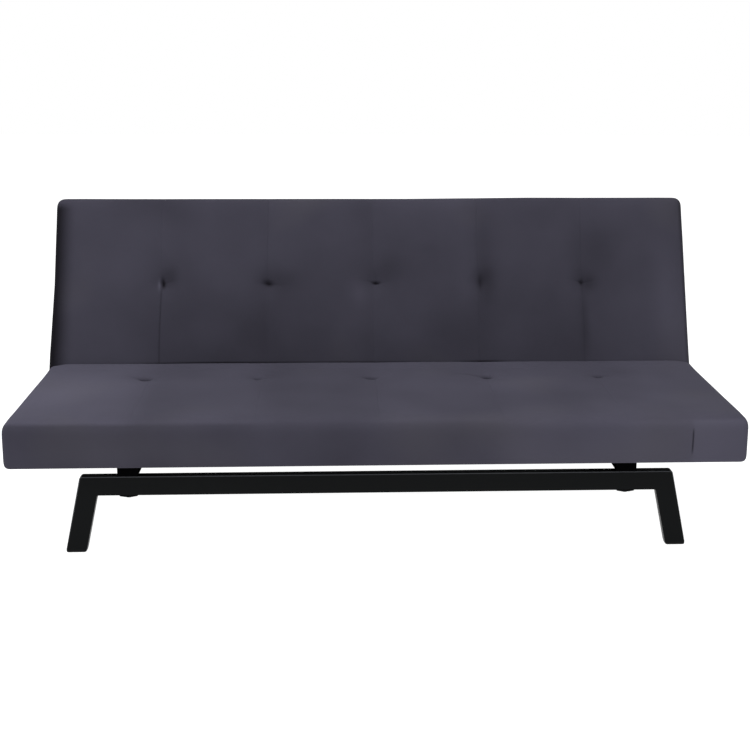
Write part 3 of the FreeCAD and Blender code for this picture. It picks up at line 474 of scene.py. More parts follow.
def inflate(piece, held, settings):
    """Movement of the cover's points as the stuffing presses it out, from a cloth simulation."""
    start = positions(piece)
    group = piece.vertex_groups.new(name="held")
    for weight in np.unique(held):
        group.add(np.flatnonzero(held == weight).tolist(), float(weight), "REPLACE")
    cloth = piece.modifiers.new("cover", "CLOTH")
    for name, value in CLOTH.items():
        setattr(cloth.settings, name, value)
    cloth.settings.uniform_pressure_force = settings.pressure
    cloth.settings.pin_stiffness = settings.hold
    cloth.settings.effector_weights.gravity = 0
    cloth.collision_settings.use_collision = False
    cloth.point_cache.frame_end = settings.frames
    for step in range(1, settings.frames + 1):
        bpy.context.scene.frame_set(step)
    graph = bpy.context.evaluated_depsgraph_get()
    moved = positions(piece.evaluated_get(graph)) - start
    piece.modifiers.clear()
    bpy.context.scene.frame_set(1)
    far = np.linalg.norm(moved, axis=1, keepdims=True)
    return moved * settings.swell * np.tanh(far / settings.swell) / np.maximum(far, 1e-9)


def between(s):
    """Weights of the four stations round a place, for a smooth curve through all of them."""
    return np.stack([
        ((2 - s) * s - 1) * s / 2,
        ((3 * s - 5) * s * s + 2) / 2,
        ((4 - 3 * s) * s + 1) * s / 2,
        (s - 1) * s * s / 2,
    ])


def carried(counts, coarse, moved, fine):
    """Movement of a coarse box grid, read off at a finer one's places, both as shares of the box."""
    counts = np.array(counts)
    field = np.zeros(tuple(counts + 1) + (3,))
    field[tuple(np.rint(coarse * counts).astype(int).T)] = moved
    base = np.clip((fine * counts).astype(int), 0, counts - 1)
    wx, wy, wz = (between((fine * counts - base)[:, axis]) for axis in range(3))
    result = np.zeros_like(fine)
    for i in range(4):
        for j in range(4):
            for k in range(4):
                spot = np.clip(base + np.array([i - 1, j - 1, k - 1]), 0, counts)
                result += (wx[i] * wy[j] * wz[k])[:, None] * field[tuple(spot.T)]
    return result


def cut_slots(piece, blocks):
    """Cuts slots for the hinge plates into both ends of a cushion, from two (y, z) corners of each."""
    plate = corners("hinge_seat_plate_right")[0].x
    cutters = []
    for low, high in blocks:
        for side in (-1, 1):
            ends = sorted((side * (plate - 0.3 * MM), side * (plate + 17 * MM)))
            cutters.append(add_piece("slot", *box_grid(ends, *zip(low, high)), smooth=False))
    for cutter in cutters:
        modifier = piece.modifiers.new("slot", "BOOLEAN")
        modifier.object = cutter
        modifier.operation = "DIFFERENCE"
        modifier.solver = "MANIFOLD"
    baked(piece)
    for cutter in cutters:
        bpy.data.objects.remove(cutter)


class Tuft(typing.NamedTuple):
    """Pinch where a tie draws the cover in, in millimetres and degrees, with its short folds."""
    shift: float
    wide: float
    high: float
    turn: float
    strength: float
    folds: tuple  # (angle, length, depth)


def patches(x, y, marks):
    """Soft marks, each (x, y, half width, half height, strength)."""
    return sum(
        strength * bell(x - across, wide) * bell(y - along, high) for across, along, wide, high, strength in marks)


def panel_tone(x, tones, soft):
    """Value for each panel from left to right as seen from the front, with soft steps at the seams; it carries the
    pile's own tone and also painted highlights and painted shade.
    """
    tone = np.full_like(x, tones[0])
    for seam, (a, b) in zip(SEAMS, zip(tones, tones[1:])):
        tone += (b - a) * 0.5 * (1 + np.tanh((x - seam) / soft))
    return tone


class Cushion:
    """One cushion, laid flat: its box, its tufts along a row, and where its grid is finer and its edges rounder."""

    def __init__(self, name, lo, hi, row, tufts, finer, extra_round, seed):
        self.name = name
        self.lo, self.hi = lo, hi
        self.row = row
        self.tufts = [(x + tuft.shift * MM, tuft) for x, tuft in zip(SEAMS, tufts)]
        self.finer = finer
        self.extra_round = extra_round
        self.seed = seed

    def shape(self, lo, hi, stations, settings):
        """Rounded box on the given stations, dished at the tufts, with its faces and its places as shares."""
        places, faces = box_grid(*stations)
        points = rounded(places, lo, hi, settings.edge_round + self.extra_round(places))
        top = ramp(points[:, 2], hi.z - settings.edge_round, hi.z)
        away = np.min([np.hypot(points[:, 0] - x, points[:, 1] - self.row) for x, _ in self.tufts], axis=0)
        points[:, 2] -= top * bell(away, settings.tuft_reach * 0.62) * settings.tuft_depth * 0.4
        return points, faces, (places - np.array(lo)) / (np.array(hi) - np.array(lo))

    def build(self, settings):
        """Padded form: the simulated swelling of an even grid, carried over to one that is finer at the seams."""
        swell = settings.swell
        lo = self.lo + Vector((swell, swell, 0))
        hi = self.hi - Vector((swell, swell, swell + settings.crown))
        across, along = self.finer
        near = ([lo.x, hi.x] + SEAMS + across, [lo.y, hi.y, self.row] + along, [lo.z, hi.z])
        stations = [graded(a, b, spots, *sizes) for a, b, spots, sizes in zip(lo, hi, near, GRID)]
        points, faces, shares = self.shape(lo, hi, stations, settings)
        counts = (20 * PANELS, round((hi.y - lo.y) / EVEN_PITCH), 7)
        stations = [np.linspace(a, b, count + 1) for a, b, count in zip(lo, hi, counts)]
        even, even_faces, even_shares = self.shape(lo, hi, stations, settings)
        trial = add_piece("trial", even, even_faces)
        near_edge = np.sort(np.minimum(even - np.array(lo), np.array(hi) - even), axis=1)[:, 1]
        held = np.where(near_edge < settings.edge_round, 0.4, 0.1)
        held[even[:, 2] < lo.z + 1 * MM] = 1
        moved = inflate(trial, held, settings)
        bpy.data.objects.remove(trial)
        points += carried(counts, even_shares, moved, shares) * settings.sideways
        piece = add_piece(self.name, points, faces, "cut_velvet")
        modifier = piece.modifiers.new("smooth", "SUBSURF")
        modifier.levels = modifier.render_levels = 1
        self.fit(baked(piece), settings)
        return piece

    def fit(self, piece, settings):
        """Brings the swollen form back to its size, apart from the crown that comes next."""
        points = positions(piece)
        low, high = points.min(0), points.max(0)
        lo, hi = np.array(self.lo), np.array(self.hi - Vector((0, 0, settings.crown)))
        set_positions(piece, lo + (points - low) * (hi - lo) / (high - low))

    def tufted(self, piece, settings, seam):
        """Draws in the seams and tufts and returns the painted shade in them; seam gives how far each seam is drawn
        in and how much painted shade lies in it.
        """
        points = positions(piece)
        x, y, z = points.T
        lo, hi = self.lo, self.hi
        rise = eased(ramp(z, hi.z - 45 * MM, hi.z - 15 * MM))
        edge = ramp(np.minimum(y - lo.y, hi.y - y), 0, 50 * MM)
        panel = np.abs(np.sin(math.pi * PANELS * (x - lo.x) / (hi.x - lo.x)))
        lift = (settings.crown * panel + 0.9 * MM * wander(x, y, self.seed, 0.34)) * edge * rise
        shade = np.zeros_like(x)
        for number, centre in enumerate(SEAMS):
            drift = 1.3 * MM * np.sin(y * 19 + number * 2.1)
            line = bell(x - centre - drift, settings.seam_width)
            drawn, dark = seam(number, y)
            lift -= (settings.seam_depth * line + 1.2 * MM * bell(x - centre, 22 * MM)) * drawn * rise
            shade += line * dark * rise
        for centre, tuft in self.tufts:
            dx, dy = x - centre, y - self.row
            cos, sin = math.cos(math.radians(tuft.turn)), math.sin(math.radians(tuft.turn))
            core = bell(dx * cos + dy * sin, tuft.wide * MM) * bell(dy * cos - dx * sin, tuft.high * MM)
            core *= tuft.strength
            far, around = np.hypot(dx, dy), np.arctan2(dy, dx)
            folds = np.zeros_like(x)
            for angle, length, depth in tuft.folds:
                off = (around - math.radians(angle) + math.pi) % math.tau - math.pi
                width = 0.055 + 2 * MM / np.maximum(far, 2 * MM)
                folds += depth * bell(off, width) * bell(far, length * MM)
            dish = bell(far, settings.tuft_reach * 0.8)
            lift -= (settings.tuft_depth * (0.30 * dish + 0.55 * core) + folds * MM) * rise
            # Painted shade in the tuft's pinch and its folds
            shade += (0.78 * core + 0.13 * folds) * rise
        points[:, 2] += lift
        set_positions(piece, points)
        return shade


# Operators


class SOFABED_OT_seat(bpy.types.Operator):
    """Make the velvet seat cushion"""
    bl_idname = "sofabed.seat"
    bl_label = "Seat cushion"

    TUFTS = [
        Tuft(-16, 14, 12, -12, 1.05, ((168, 36, 2.6), (10, 12, 0.8))),
        Tuft(-17, 9, 9, 5, 0.6, ((175, 18, 0.9),)),
        Tuft(-12, 14, 9, -6, 0.9, ((182, 24, 1.4), (5, 16, 0.9))),
        Tuft(3, 11, 12, -8, 1.15, ((171, 56, 4.0), (350, 12, 0.9))),
        Tuft(7, 11, 10, 0, 0.7, ((190, 24, 0.9), (0, 20, 0.8))),
    ]
    # Soft marks on the top, each (x, y from the tuft row, half width, half height, strength): a painted highlight on
    # the left end, painted shade beside some tufts, and blotches of the pile's own tone
    PILE_AND_PAINTED_LIGHT_MARKS = [
        (-0.80, -0.17, 0.10, 0.16, 0.16), (-0.62, 0.04, 0.05, 0.05, -0.08), (-0.35, -0.20, 0.14, 0.10, 0.03),
        (-0.28, 0.03, 0.05, 0.04, -0.05), (0.16, -0.10, 0.08, 0.10, 0.05), (0.42, -0.22, 0.16, 0.09, -0.10),
        (0.66, 0.01, 0.05, 0.05, -0.10), (0.74, -0.08, 0.12, 0.08, 0.03),
    ]
    # Tone of each panel, left to right, on the top and on the front: the pile's own tone, with a painted highlight on
    # the top's left end; the front is lighter towards its right end
    TOP_TONES = [0.72, 0.54, 0.47, 0.53, 0.57, 0.55]
    FRONT_TONES = [0.41, 0.34, 0.41, 0.42, 0.57, 0.64]
    # Painted shade in each seam's groove, ahead of the tufts
    SEAMS_DARK = [0.03, 0.02, 0.04, 0.05, 0.03]
    JOIN = SEAT_HI.x - 0.141  # upright seam on the front
    JOIN_MIDDLE, JOIN_HALF = 0.300, 0.030
    REAR_RISE = 8 * MM  # of the rear edge, against the back

    def extra_round(self, places):
        """The front's top edge is rounder."""
        front = ramp(places[:, 1], SEAT_LO.y + 70 * MM, SEAT_LO.y + 20 * MM)
        front *= ramp(places[:, 2], SEAT_LO.z, SEAT_HI.z)
        return front[:, None] * (0, 9 * MM, 13 * MM)

    def seam(self, number, y):
        ahead = ramp(y, SEAT_ROW + 12 * MM, SEAT_ROW) * ramp(y, SEAT_LO.y, SEAT_LO.y + 50 * MM)
        return ahead * 0.4, ahead * self.SEAMS_DARK[number]

    def execute(self, context):
        settings = context.scene.sofabed_cushions
        finer = [self.JOIN], []
        cushion = Cushion("seat_cushion", SEAT_LO, SEAT_HI, SEAT_ROW, self.TUFTS, finer, self.extra_round, 11)
        piece = cushion.build(settings)
        shade = cushion.tufted(piece, settings, self.seam)
        points = positions(piece)
        x, y, z = points.T
        on_front = ramp(y, SEAT_LO.y + 20 * MM, SEAT_LO.y + 10 * MM)
        tall = np.exp(-(((z - self.JOIN_MIDDLE) / self.JOIN_HALF) ** 6))
        join = bell(x - self.JOIN, 1.8 * MM) * on_front * tall
        points[:, 1] += 1.6 * MM * join
        rear = ramp(y, SEAT_HI.y - 75 * MM, SEAT_HI.y - 15 * MM) * ramp(z, SEAT_LO.z + 50 * MM, SEAT_LO.z + 80 * MM)
        points[:, 2] += self.REAR_RISE * eased(rear) * ramp(np.abs(x), SEAT_HI.x, SEAT_HI.x - 50 * MM)
        set_positions(piece, points)
        tones = panel_tone(x, self.TOP_TONES, 30 * MM) + patches(x, y - SEAT_ROW, self.PILE_AND_PAINTED_LIGHT_MARKS)
        front = panel_tone(x, self.FRONT_TONES, 30 * MM) + (np.tanh((x - self.JOIN) / (4 * MM)) + 1) * 0.06
        tones += on_front * (front - tones) + 0.06 * wander(x, y + z, 5, 0.5)
        set_values(piece, "pile_and_painted_light", tones)
        # Painted shade in the tufts, the seams and the front's upright seam
        set_values(piece, "painted_shade", shade + 0.8 * join)
        plate = corners("hinge_seat_plate_right")[0]
        cut_slots(piece, [((plate.y - 6 * MM, plate.z - 3 * MM), (SEAT_HI.y + 20 * MM, plate.z + 38 * MM))])
        finish_piece(piece, "base", "velvet", "seat_cover", "seat_padding", "seat_tuft_ties")
        return {"FINISHED"}


class SOFABED_OT_back(bpy.types.Operator):
    """Make the velvet back cushion"""
    bl_idname = "sofabed.back"
    bl_label = "Back cushion"

    TUFTS = [
        Tuft(7, 5.5, 13, 8, 1.0, ((92, 24, 1.2), (262, 26, 1.2), (15, 30, 0.9))),
        Tuft(3, 13, 8.5, -20, 0.95, ((180, 24, 1.0), (350, 34, 1.1))),
        Tuft(9, 10, 4.2, 0, 1.0, ((165, 28, 1.4), (5, 16, 0.9), (95, 28, 0.9))),
        Tuft(8, 8, 18, 0, 0.5, ((95, 30, 0.9), (268, 30, 0.9))),
        Tuft(-1, 6, 8, 20, 0.7, ((160, 22, 1.3), (80, 16, 1.0), (275, 26, 1.0), (8, 30, 1.1))),
    ]
    # Soft marks, each (x, y from the tuft row, half width, half height, strength): mostly painted highlights and
    # painted shade round the tufts, with blotches of the pile's own tone
    PILE_AND_PAINTED_LIGHT_MARKS = [
        (-0.80, 0.16, 0.08, 0.10, 0.05), (-0.68, 0.06, 0.06, 0.12, 0.06), (-0.45, 0.11, 0.08, 0.12, 0.06),
        (-0.575, 0.02, 0.025, 0.03, -0.16), (-0.605, -0.003, 0.004, 0.014, 0.35), (-0.26, 0.01, 0.05, 0.03, -0.10),
        (-0.04, -0.03, 0.025, 0.035, 0.12), (0.04, 0.04, 0.035, 0.04, -0.08), (0.16, 0.10, 0.03, 0.02, -0.05),
        (0.325, 0.0, 0.03, 0.05, -0.16), (0.32, 0.10, 0.03, 0.10, -0.08), (0.26, 0.0, 0.03, 0.09, 0.05),
        (0.56, 0.0, 0.035, 0.08, 0.07), (0.65, 0.10, 0.07, 0.09, -0.10), (0.618, -0.003, 0.022, 0.026, -0.15),
        (0.604, -0.12, 0.012, 0.09, -0.12), (0.84, -0.02, 0.04, 0.16, 0.12),
    ]
    TONES = [0.35, 0.35, 0.37, 0.40, 0.36, 0.38]
    # Painted shade on each panel below the tuft row, deepening towards the seat; the end panels are lighter there
    # instead
    DARKER_BELOW = [-0.07, 0.08, 0.13, 0.15, 0.04, -0.04]
    SEAMS_DARK = [(0.02, 0.38), (0.10, 0.0), (0.02, 0.03), (0.06, 0.04), (0.06, 0.08)]  # painted shade in each seam's groove, above and below the tufts
    # Painted shadow where the seat meets the back, as soft marks along that line
    CONTACT_MARKS = [(-0.42, 0, 0.20, 3 * MM, 0.9), (-0.05, 0, 0.18, 3 * MM, 0.5), (0.31, 0, 0.06, 3 * MM, 0.9)]

    def extra_round(self, places):
        """The top corners are rounder."""
        x, y, _ = places.T
        ends = ramp(np.abs(x), BACK_HI.x - 80 * MM, BACK_HI.x - 30 * MM)
        ends *= ramp(y, BACK_HI.y - 100 * MM, BACK_HI.y - 50 * MM)
        return ends[:, None] * (10 * MM, 10 * MM, 0)

    def seam(self, number, y):
        above, below = (ramp(side * (y - BACK_ROW), 10 * MM, 30 * MM) for side in (1, -1))
        dark_above, dark_below = self.SEAMS_DARK[number]
        return (above + below) * 0.3, above * dark_above + below * dark_below

    def execute(self, context):
        settings = context.scene.sofabed_cushions
        ends = (BACK_LO.y, BACK_HI.y)
        contact = np.interp(SEAT_HI.z - 3 * MM, [(TO_LEAN @ Vector((0, y, BACK_HI.z))).z for y in ends], ends)
        finer = [], [contact]
        cushion = Cushion("back_cushion", BACK_LO, BACK_HI, BACK_ROW, self.TUFTS, finer, self.extra_round, 23)
        piece = cushion.build(settings)
        shade = cushion.tufted(piece, settings, self.seam)
        points = positions(piece)
        x, y, _ = points.T
        low, high = ramp(y, BACK_ROW, BACK_ROW - 0.2), ramp(y, BACK_ROW, BACK_ROW + 0.2)
        points[:, 0] += np.where(x < 0, -3 * MM - 6 * MM * low, 6 * MM) * ramp(np.abs(x), 0.6, 0.9)
        points[:, 1] -= 4 * MM * high * ramp(x, 0.45, 0.10)
        set_positions(piece, points)
        tones = panel_tone(x, self.TONES, 8 * MM) - low * panel_tone(x, self.DARKER_BELOW, 60 * MM)
        tones += patches(x, y - BACK_ROW, self.PILE_AND_PAINTED_LIGHT_MARKS) + 0.05 * wander(x, y, 8, 0.4)
        # Painted shade down the left edge where its rounding turns away, weaker near the top, and a thin painted dark
        # line down the right edge
        left = ramp(x, BACK_LO.x + 60 * MM, BACK_LO.x)
        left *= np.maximum(ramp(y, BACK_HI.y - 10 * MM, BACK_HI.y - 40 * MM), 0.2)
        tones -= 0.5 * left ** 1.5 + 0.20 * ramp(x, BACK_HI.x - 12 * MM, BACK_HI.x - 4 * MM)
        set_values(piece, "pile_and_painted_light", tones)
        # Painted shade in the tufts and seams, down the left edge and where the seat meets the back
        set_values(piece, "painted_shade", shade + 1.1 * left ** 2.2 + patches(x, y - contact, self.CONTACT_MARKS))
        low_corner = BACK_LO.y - 20 * MM, corners("hinge_seat_plate_right")[0].z - 3 * MM
        arm_end = corners("hinge_arm_right", TO_FLAT)[1].y
        cut_slots(piece, [
            (low_corner, (arm_end + 3 * MM, PIVOT.z - 16 * MM)),
            (low_corner, (PIVOT.y + 53 * MM, PIVOT.z + 36 * MM)),
        ])
        turn_piece(piece, TO_LEAN)
        finish_piece(piece, "back", "velvet", "back_cover", "back_padding", "back_tuft_ties")
        return {"FINISHED"}


# Base

SPLAY = math.radians(12.6)
TUBE_HIGH = 50 * MM
TUBE_EDGE = 3 * MM
OUTER_CORNER = 9 * MM
INNER_CORNER = 5 * MM
HIGHLIGHT_BELOW_TOP = 12 * MM  # how far down the painted highlight on the rounded edges reaches
FOOT_ROUND = 6 * MM
FOOT_PLAY = 0.2 * MM


def leg_sides(node, z, inset=0.0):
    """How far a leg's outer and inner side are from the middle, at a height."""
    lo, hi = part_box(node)
    outer = hi.x - (z - lo.z) * math.tan(SPLAY)
    return outer - inset / math.cos(SPLAY), outer - (TUBE_HIGH - inset) / math.cos(SPLAY)


def frame_outline(node, inset):
    """Front view of a leg frame as (x, z) points, drawn in by an inset."""
    lo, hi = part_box(node)
    tilt = math.degrees(SPLAY)

    def corner(z, side, radius, start, stop, steps):
        x = leg_sides(node, z, inset)[side] - radius * math.tan(math.radians((90 - tilt) / 2))
        angles = [math.radians(start + (stop - start) * i / steps) for i in range(steps + 1)]
        return [(x + radius * math.cos(a), z - radius + radius * math.sin(a)) for a in angles]

    right = corner(hi.z - inset, 0, OUTER_CORNER - inset, 90, tilt, 12)
    right += [(x, lo.z) for x in leg_sides(node, lo.z, inset)]
    right += corner(hi.z - TUBE_HIGH + inset, 1, INNER_CORNER + inset, tilt, 90, 8)
    return right + [(-x, z) for x, z in reversed(right)]


def rounded_frame(node):
    """Leg frame of a tube with rounded long edges, and how strong the painted highlight is at each point."""
    lo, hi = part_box(node)
    steps = 4
    loops = []
    for i in range(steps + 1):
        angle = math.radians(90 * i / steps)
        loops.append((TUBE_EDGE * (1 - math.sin(angle)), lo.y + TUBE_EDGE * (1 - math.cos(angle))))
    loops += [(inset, lo.y + hi.y - y) for inset, y in reversed(loops)]
    points, edge_highlight = [], []
    for inset, y in loops:
        # Painted highlight, strongest halfway round each rounded long edge, near the top only
        bent = math.sin(math.pi * inset / TUBE_EDGE)
        for x, z in frame_outline(node, inset):
            points.append((x, y, z))
            edge_highlight.append(bent * (z > hi.z - HIGHLIGHT_BELOW_TOP))
    count = len(points) // len(loops)
    faces = [range(count), range(len(points) - count, len(points))] + ring_faces(len(loops) - 1, count)
    return points, faces, edge_highlight


def foot(node, side):
    """Cap on the end of a leg, with rounded corners."""
    lo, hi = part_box(node)
    outer, inner = leg_sides(node, lo.z, FOOT_PLAY)
    low, high = (inner, lo.y + FOOT_PLAY, 0), (outer, hi.y - FOOT_PLAY, lo.z + FOOT_ROUND)
    points, faces = box_grid(*(np.linspace(a, b, count) for a, b, count in zip(low, high, (33, 17, 9))))
    points = rounded(points, low, high, np.full(3, FOOT_ROUND))
    points[:, 0] -= (points[:, 2] - lo.z) * math.tan(SPLAY)
    points[:, 0] *= side
    return points, faces


def weighted(piece):
    """Keeps flat faces flat beside rounded edges."""
    piece.data.polygons.foreach_set("use_smooth", [True] * len(piece.data.polygons))
    modifier = piece.modifiers.new("flat faces", "WEIGHTED_NORMAL")
    modifier.keep_sharp = True
    modifier.weight = 100
    return baked(piece)


def softened(node, radius, finish):
    """Copy of a node with its triangles merged and its sharp edges rounded."""
    shell = merged_shell(frame["nodes"][node].data)
    bmesh.ops.dissolve_limit(shell, angle_limit=math.radians(1), verts=shell.verts, edges=shell.edges)
    sharp = [e for e in shell.edges if len(e.link_faces) == 2 and e.calc_face_angle(0) > math.radians(40)]
    bmesh.ops.bevel(
        shell, geom=sharp, offset=radius, segments=2, profile=0.5, affect="EDGES", clamp_overlap=True)
    piece = add_piece(node + "_soft", [], [], finish)
    shell.to_mesh(piece.data)
    shell.free()
    return weighted(piece)


class SOFABED_OT_base(bpy.types.Operator):
    """Make the black steel base"""
    bl_idname = "sofabed.base"
    bl_label = "Steel base"

    def execute(self, context):
        feet, feet_faces = [], []
        for node in ("front_leg_frame", "rear_leg_frame"):
            points, faces, edge_highlight = rounded_frame(node)
            piece = add_piece(node + "_tube", points, faces, "powder_coat")
            # Painted highlight along the rounded edges of the top rail
            set_values(piece, "edge_highlight", edge_highlight)
            finish_piece(weighted(outward(piece)), "base", "black_steel", node)
            for side in (-1, 1):
                points, faces = foot(node, side)
                feet_faces += [[i + len(feet) for i in face] for face in faces]
                feet += list(points)
        piece = outward(add_piece("feet", feet, feet_faces, "moulded_plastic"))
        finish_piece(piece, "base", "black_plastic", "foot_caps")
        for node, radius, finish, slot in (
            # Side bars in a darker copy of the coat: painted shade under the seat
            ("side_bar_left", 1.5 * MM, "bar_coat", "black_steel"),
            ("side_bar_right", 1.5 * MM, "bar_coat", "black_steel"),
            ("frame_saddles", 0.6 * MM, "powder_coat", "black_steel"),
            # Plugs in a darker copy of the plastic: painted shade under the seat
            ("side_bar_plugs", 0.6 * MM, "plug_plastic", "black_plastic"),
        ):
            finish_piece(softened(node, radius, finish), "base", slot, node)
        return {"FINISHED"}


# What repeats


def scatter_tree():
    """Geometry Nodes tree that sets a piece on points, each turned to the point's axis."""
    tree = bpy.data.node_groups.new("set_on_points", "GeometryNodeTree")
    tree.is_modifier = True
    for name, kind, way in (
        ("Points", "NodeSocketGeometry", "INPUT"),
        ("Piece", "NodeSocketObject", "INPUT"),
        ("Finish", "NodeSocketMaterial", "INPUT"),
        ("Seed", "NodeSocketInt", "INPUT"),
        ("Spin", "NodeSocketFloat", "INPUT"),
        ("Geometry", "NodeSocketGeometry", "OUTPUT"),
    ):
        tree.interface.new_socket(name, in_out=way, socket_type=kind)
    new = functools.partial(add_node, tree)
    given = new("NodeGroupInput").outputs
    piece = new("GeometryNodeObjectInfo", None, {"Object": given["Piece"]})
    axis = new("GeometryNodeInputNamedAttribute", {"data_type": "FLOAT_VECTOR"}, {"Name": "axis"})
    align = new("FunctionNodeAlignRotationToVector", {"axis": "Z"}, {"Vector": axis.outputs["Attribute"]})
    # Sockets 2 and 3 are the least and most of a random number, and output 1 is that number
    spin = new("FunctionNodeRandomValue", {"data_type": "FLOAT"}, {2: 0.0, 3: given["Spin"], "Seed": given["Seed"]})
    start = new("GeometryNodeInputNamedAttribute", {"data_type": "FLOAT"}, {"Name": "turn"})
    total = new("ShaderNodeMath", None, {0: spin.outputs[1], 1: start.outputs["Attribute"]})
    about = new("FunctionNodeAxisAngleToRotation", None, {"Axis": (0, 0, 1), "Angle": total.outputs[0]})
    turn = new("FunctionNodeRotateRotation", {"rotation_space": "LOCAL"}, {
        "Rotation": align.outputs[0], "Rotate By": about.outputs[0]})
    put = new("GeometryNodeInstanceOnPoints", None, {
        "Points": given["Points"], "Instance": piece.outputs["Geometry"], "Rotation": turn.outputs[0]})
    real = new("GeometryNodeRealizeInstances", None, {0: put.outputs[0]})
    paint = new("GeometryNodeSetMaterial", None, {"Geometry": real.outputs[0], "Material": given["Finish"]})
    new("NodeGroupOutput", None, {0: paint.outputs[0]})
    return tree


def set_on_points(name, spots, axes, pattern, finish, seed=0, spin=math.pi, turns=None):
    """Copies of a pattern piece at the spots, as one plain mesh.

    Each has its Z along an axis and is turned about it by its own turn and a random part of the spin.
    """
    piece = add_piece(name, spots, [])
    if turns is not None:
        set_values(piece, "turn", turns)
    attribute = piece.data.attributes.new("axis", "FLOAT_VECTOR", "POINT")
    attribute.data.foreach_set("vector", np.array([tuple(a) for a in axes], np.float32).ravel())
    tree = bpy.data.node_groups.get("set_on_points") or scatter_tree()
    modifier = piece.modifiers.new("copies", "NODES")
    modifier.node_group = tree
    values = {"Piece": pattern, "Finish": bpy.data.materials[finish], "Seed": seed, "Spin": spin}
    for socket in tree.interface.items_tree:
        if socket.name in values:
            modifier[socket.identifier] = values[socket.name]
    baked(piece)
    bpy.data.objects.remove(pattern)
    return piece


def lathe(profile, sides, socket):
    """Small turned piece from (radius, height) points, with a hexagon socket of (radius, depth) in its head."""
    turn = [math.tau * i / sides for i in range(sides)]
    points = [(radius * math.cos(a), radius * math.sin(a), high) for radius, high in profile for a in turn]
    radius, depth = socket
    head = profile[-1][1]
    for level in (head, head - depth):
        for a in turn:
            flat = radius * math.cos(math.pi / 6) / math.cos((a % (math.tau / 6)) - math.pi / 6)
            points.append((flat * math.cos(a), flat * math.sin(a), level))
    faces = [range(sides), range(len(points) - sides, len(points))] + ring_faces(len(profile) + 1, sides)
    return outward(add_piece("turned", points, faces))


def solids_of(node, turn=STILL):
    """Lowest and highest corner of each separate solid of a node, after a turn."""
    shell = merged_shell(frame["nodes"][node].data)
    seen, found = set(), []
    for first in shell.verts:
        if first.index in seen:
            continue
        stack, part = [first], []
        seen.add(first.index)
        while stack:
            vertex = stack.pop()
            part.append(turn @ vertex.co)
            for edge in vertex.link_edges:
                other = edge.other_vert(vertex)
                if other.index not in seen:
                    seen.add(other.index)
                    stack.append(other)
        part = np.array(part)
        found.append((Vector(part.min(0)), Vector(part.max(0))))
    shell.free()
    return found

# Half outlines of the fasteners, as (radius, height) in millimetres from the tip
FRAME_BOLT = [(0, 0), (4, 0), (4, 69), (11, 69), (10.9, 70), (9.6, 71.3), (7.4, 72.1), (4.6, 72.4), (3.4, 72.4)]
SEAT_BOLT = [(0, 0), (3, 0), (3, 64), (7, 64), (7, 65.4), (6.2, 66.8), (4.4, 67.5), (2.6, 67.5)]
SCREW = [
    (0, 0), (0.8, 1.5), (2.1, 4), (2.1, 20.6), (4.5, 20.8), (4.4, 21.6), (3.6, 22.6), (2.2, 23.2), (1.5, 23.2)]


class SOFABED_OT_fasteners(bpy.types.Operator):
    """Set the bolts and screws"""
    bl_idname = "sofabed.fasteners"
    bl_label = "Fasteners"

    def execute(self, context):
        for node, body, profile, sides, socket, finish, slot, seed in (
            ("frame_bolts", "base", FRAME_BOLT, 24, (3.0, 2.4), "powder_coat", "black_steel", 3),
            ("seat_bolts", "base", SEAT_BOLT, 24, (2.4, 2.2), "powder_coat", "black_steel", 3),
            ("hinge_seat_screws", "base", SCREW, 18, (1.4, 1.4), "zinc_plate", "zinc_steel", 5),
            ("hinge_arm_screws", "back", SCREW, 18, (1.4, 1.4), "zinc_plate", "zinc_steel", 5),
        ):
            spots, axes = [], []
            for lo, hi in solids_of(node, LAID[body]):
                # Bolts have their heads below, and screws towards the sofa's end
                way, sign = (0, math.copysign(1, lo.x)) if profile is SCREW else (2, -1)
                spot, axis = (lo + hi) / 2, Vector((0, 0, 0))
                spot[way] = lo[way] if sign > 0 else hi[way]
                axis[way] = sign
                spots.append(spot)
                axes.append(axis)
            scale = (hi[way] - lo[way]) / profile[-1][1]
            pattern = lathe([(r * MM, high * scale) for r, high in profile], sides, [size * MM for size in socket])
            piece = set_on_points(node + "_turned", spots, axes, pattern, finish, seed)
            turn_piece(piece, LAID[body].inverted())
            finish_piece(piece, body, slot, node)
        return {"FINISHED"}


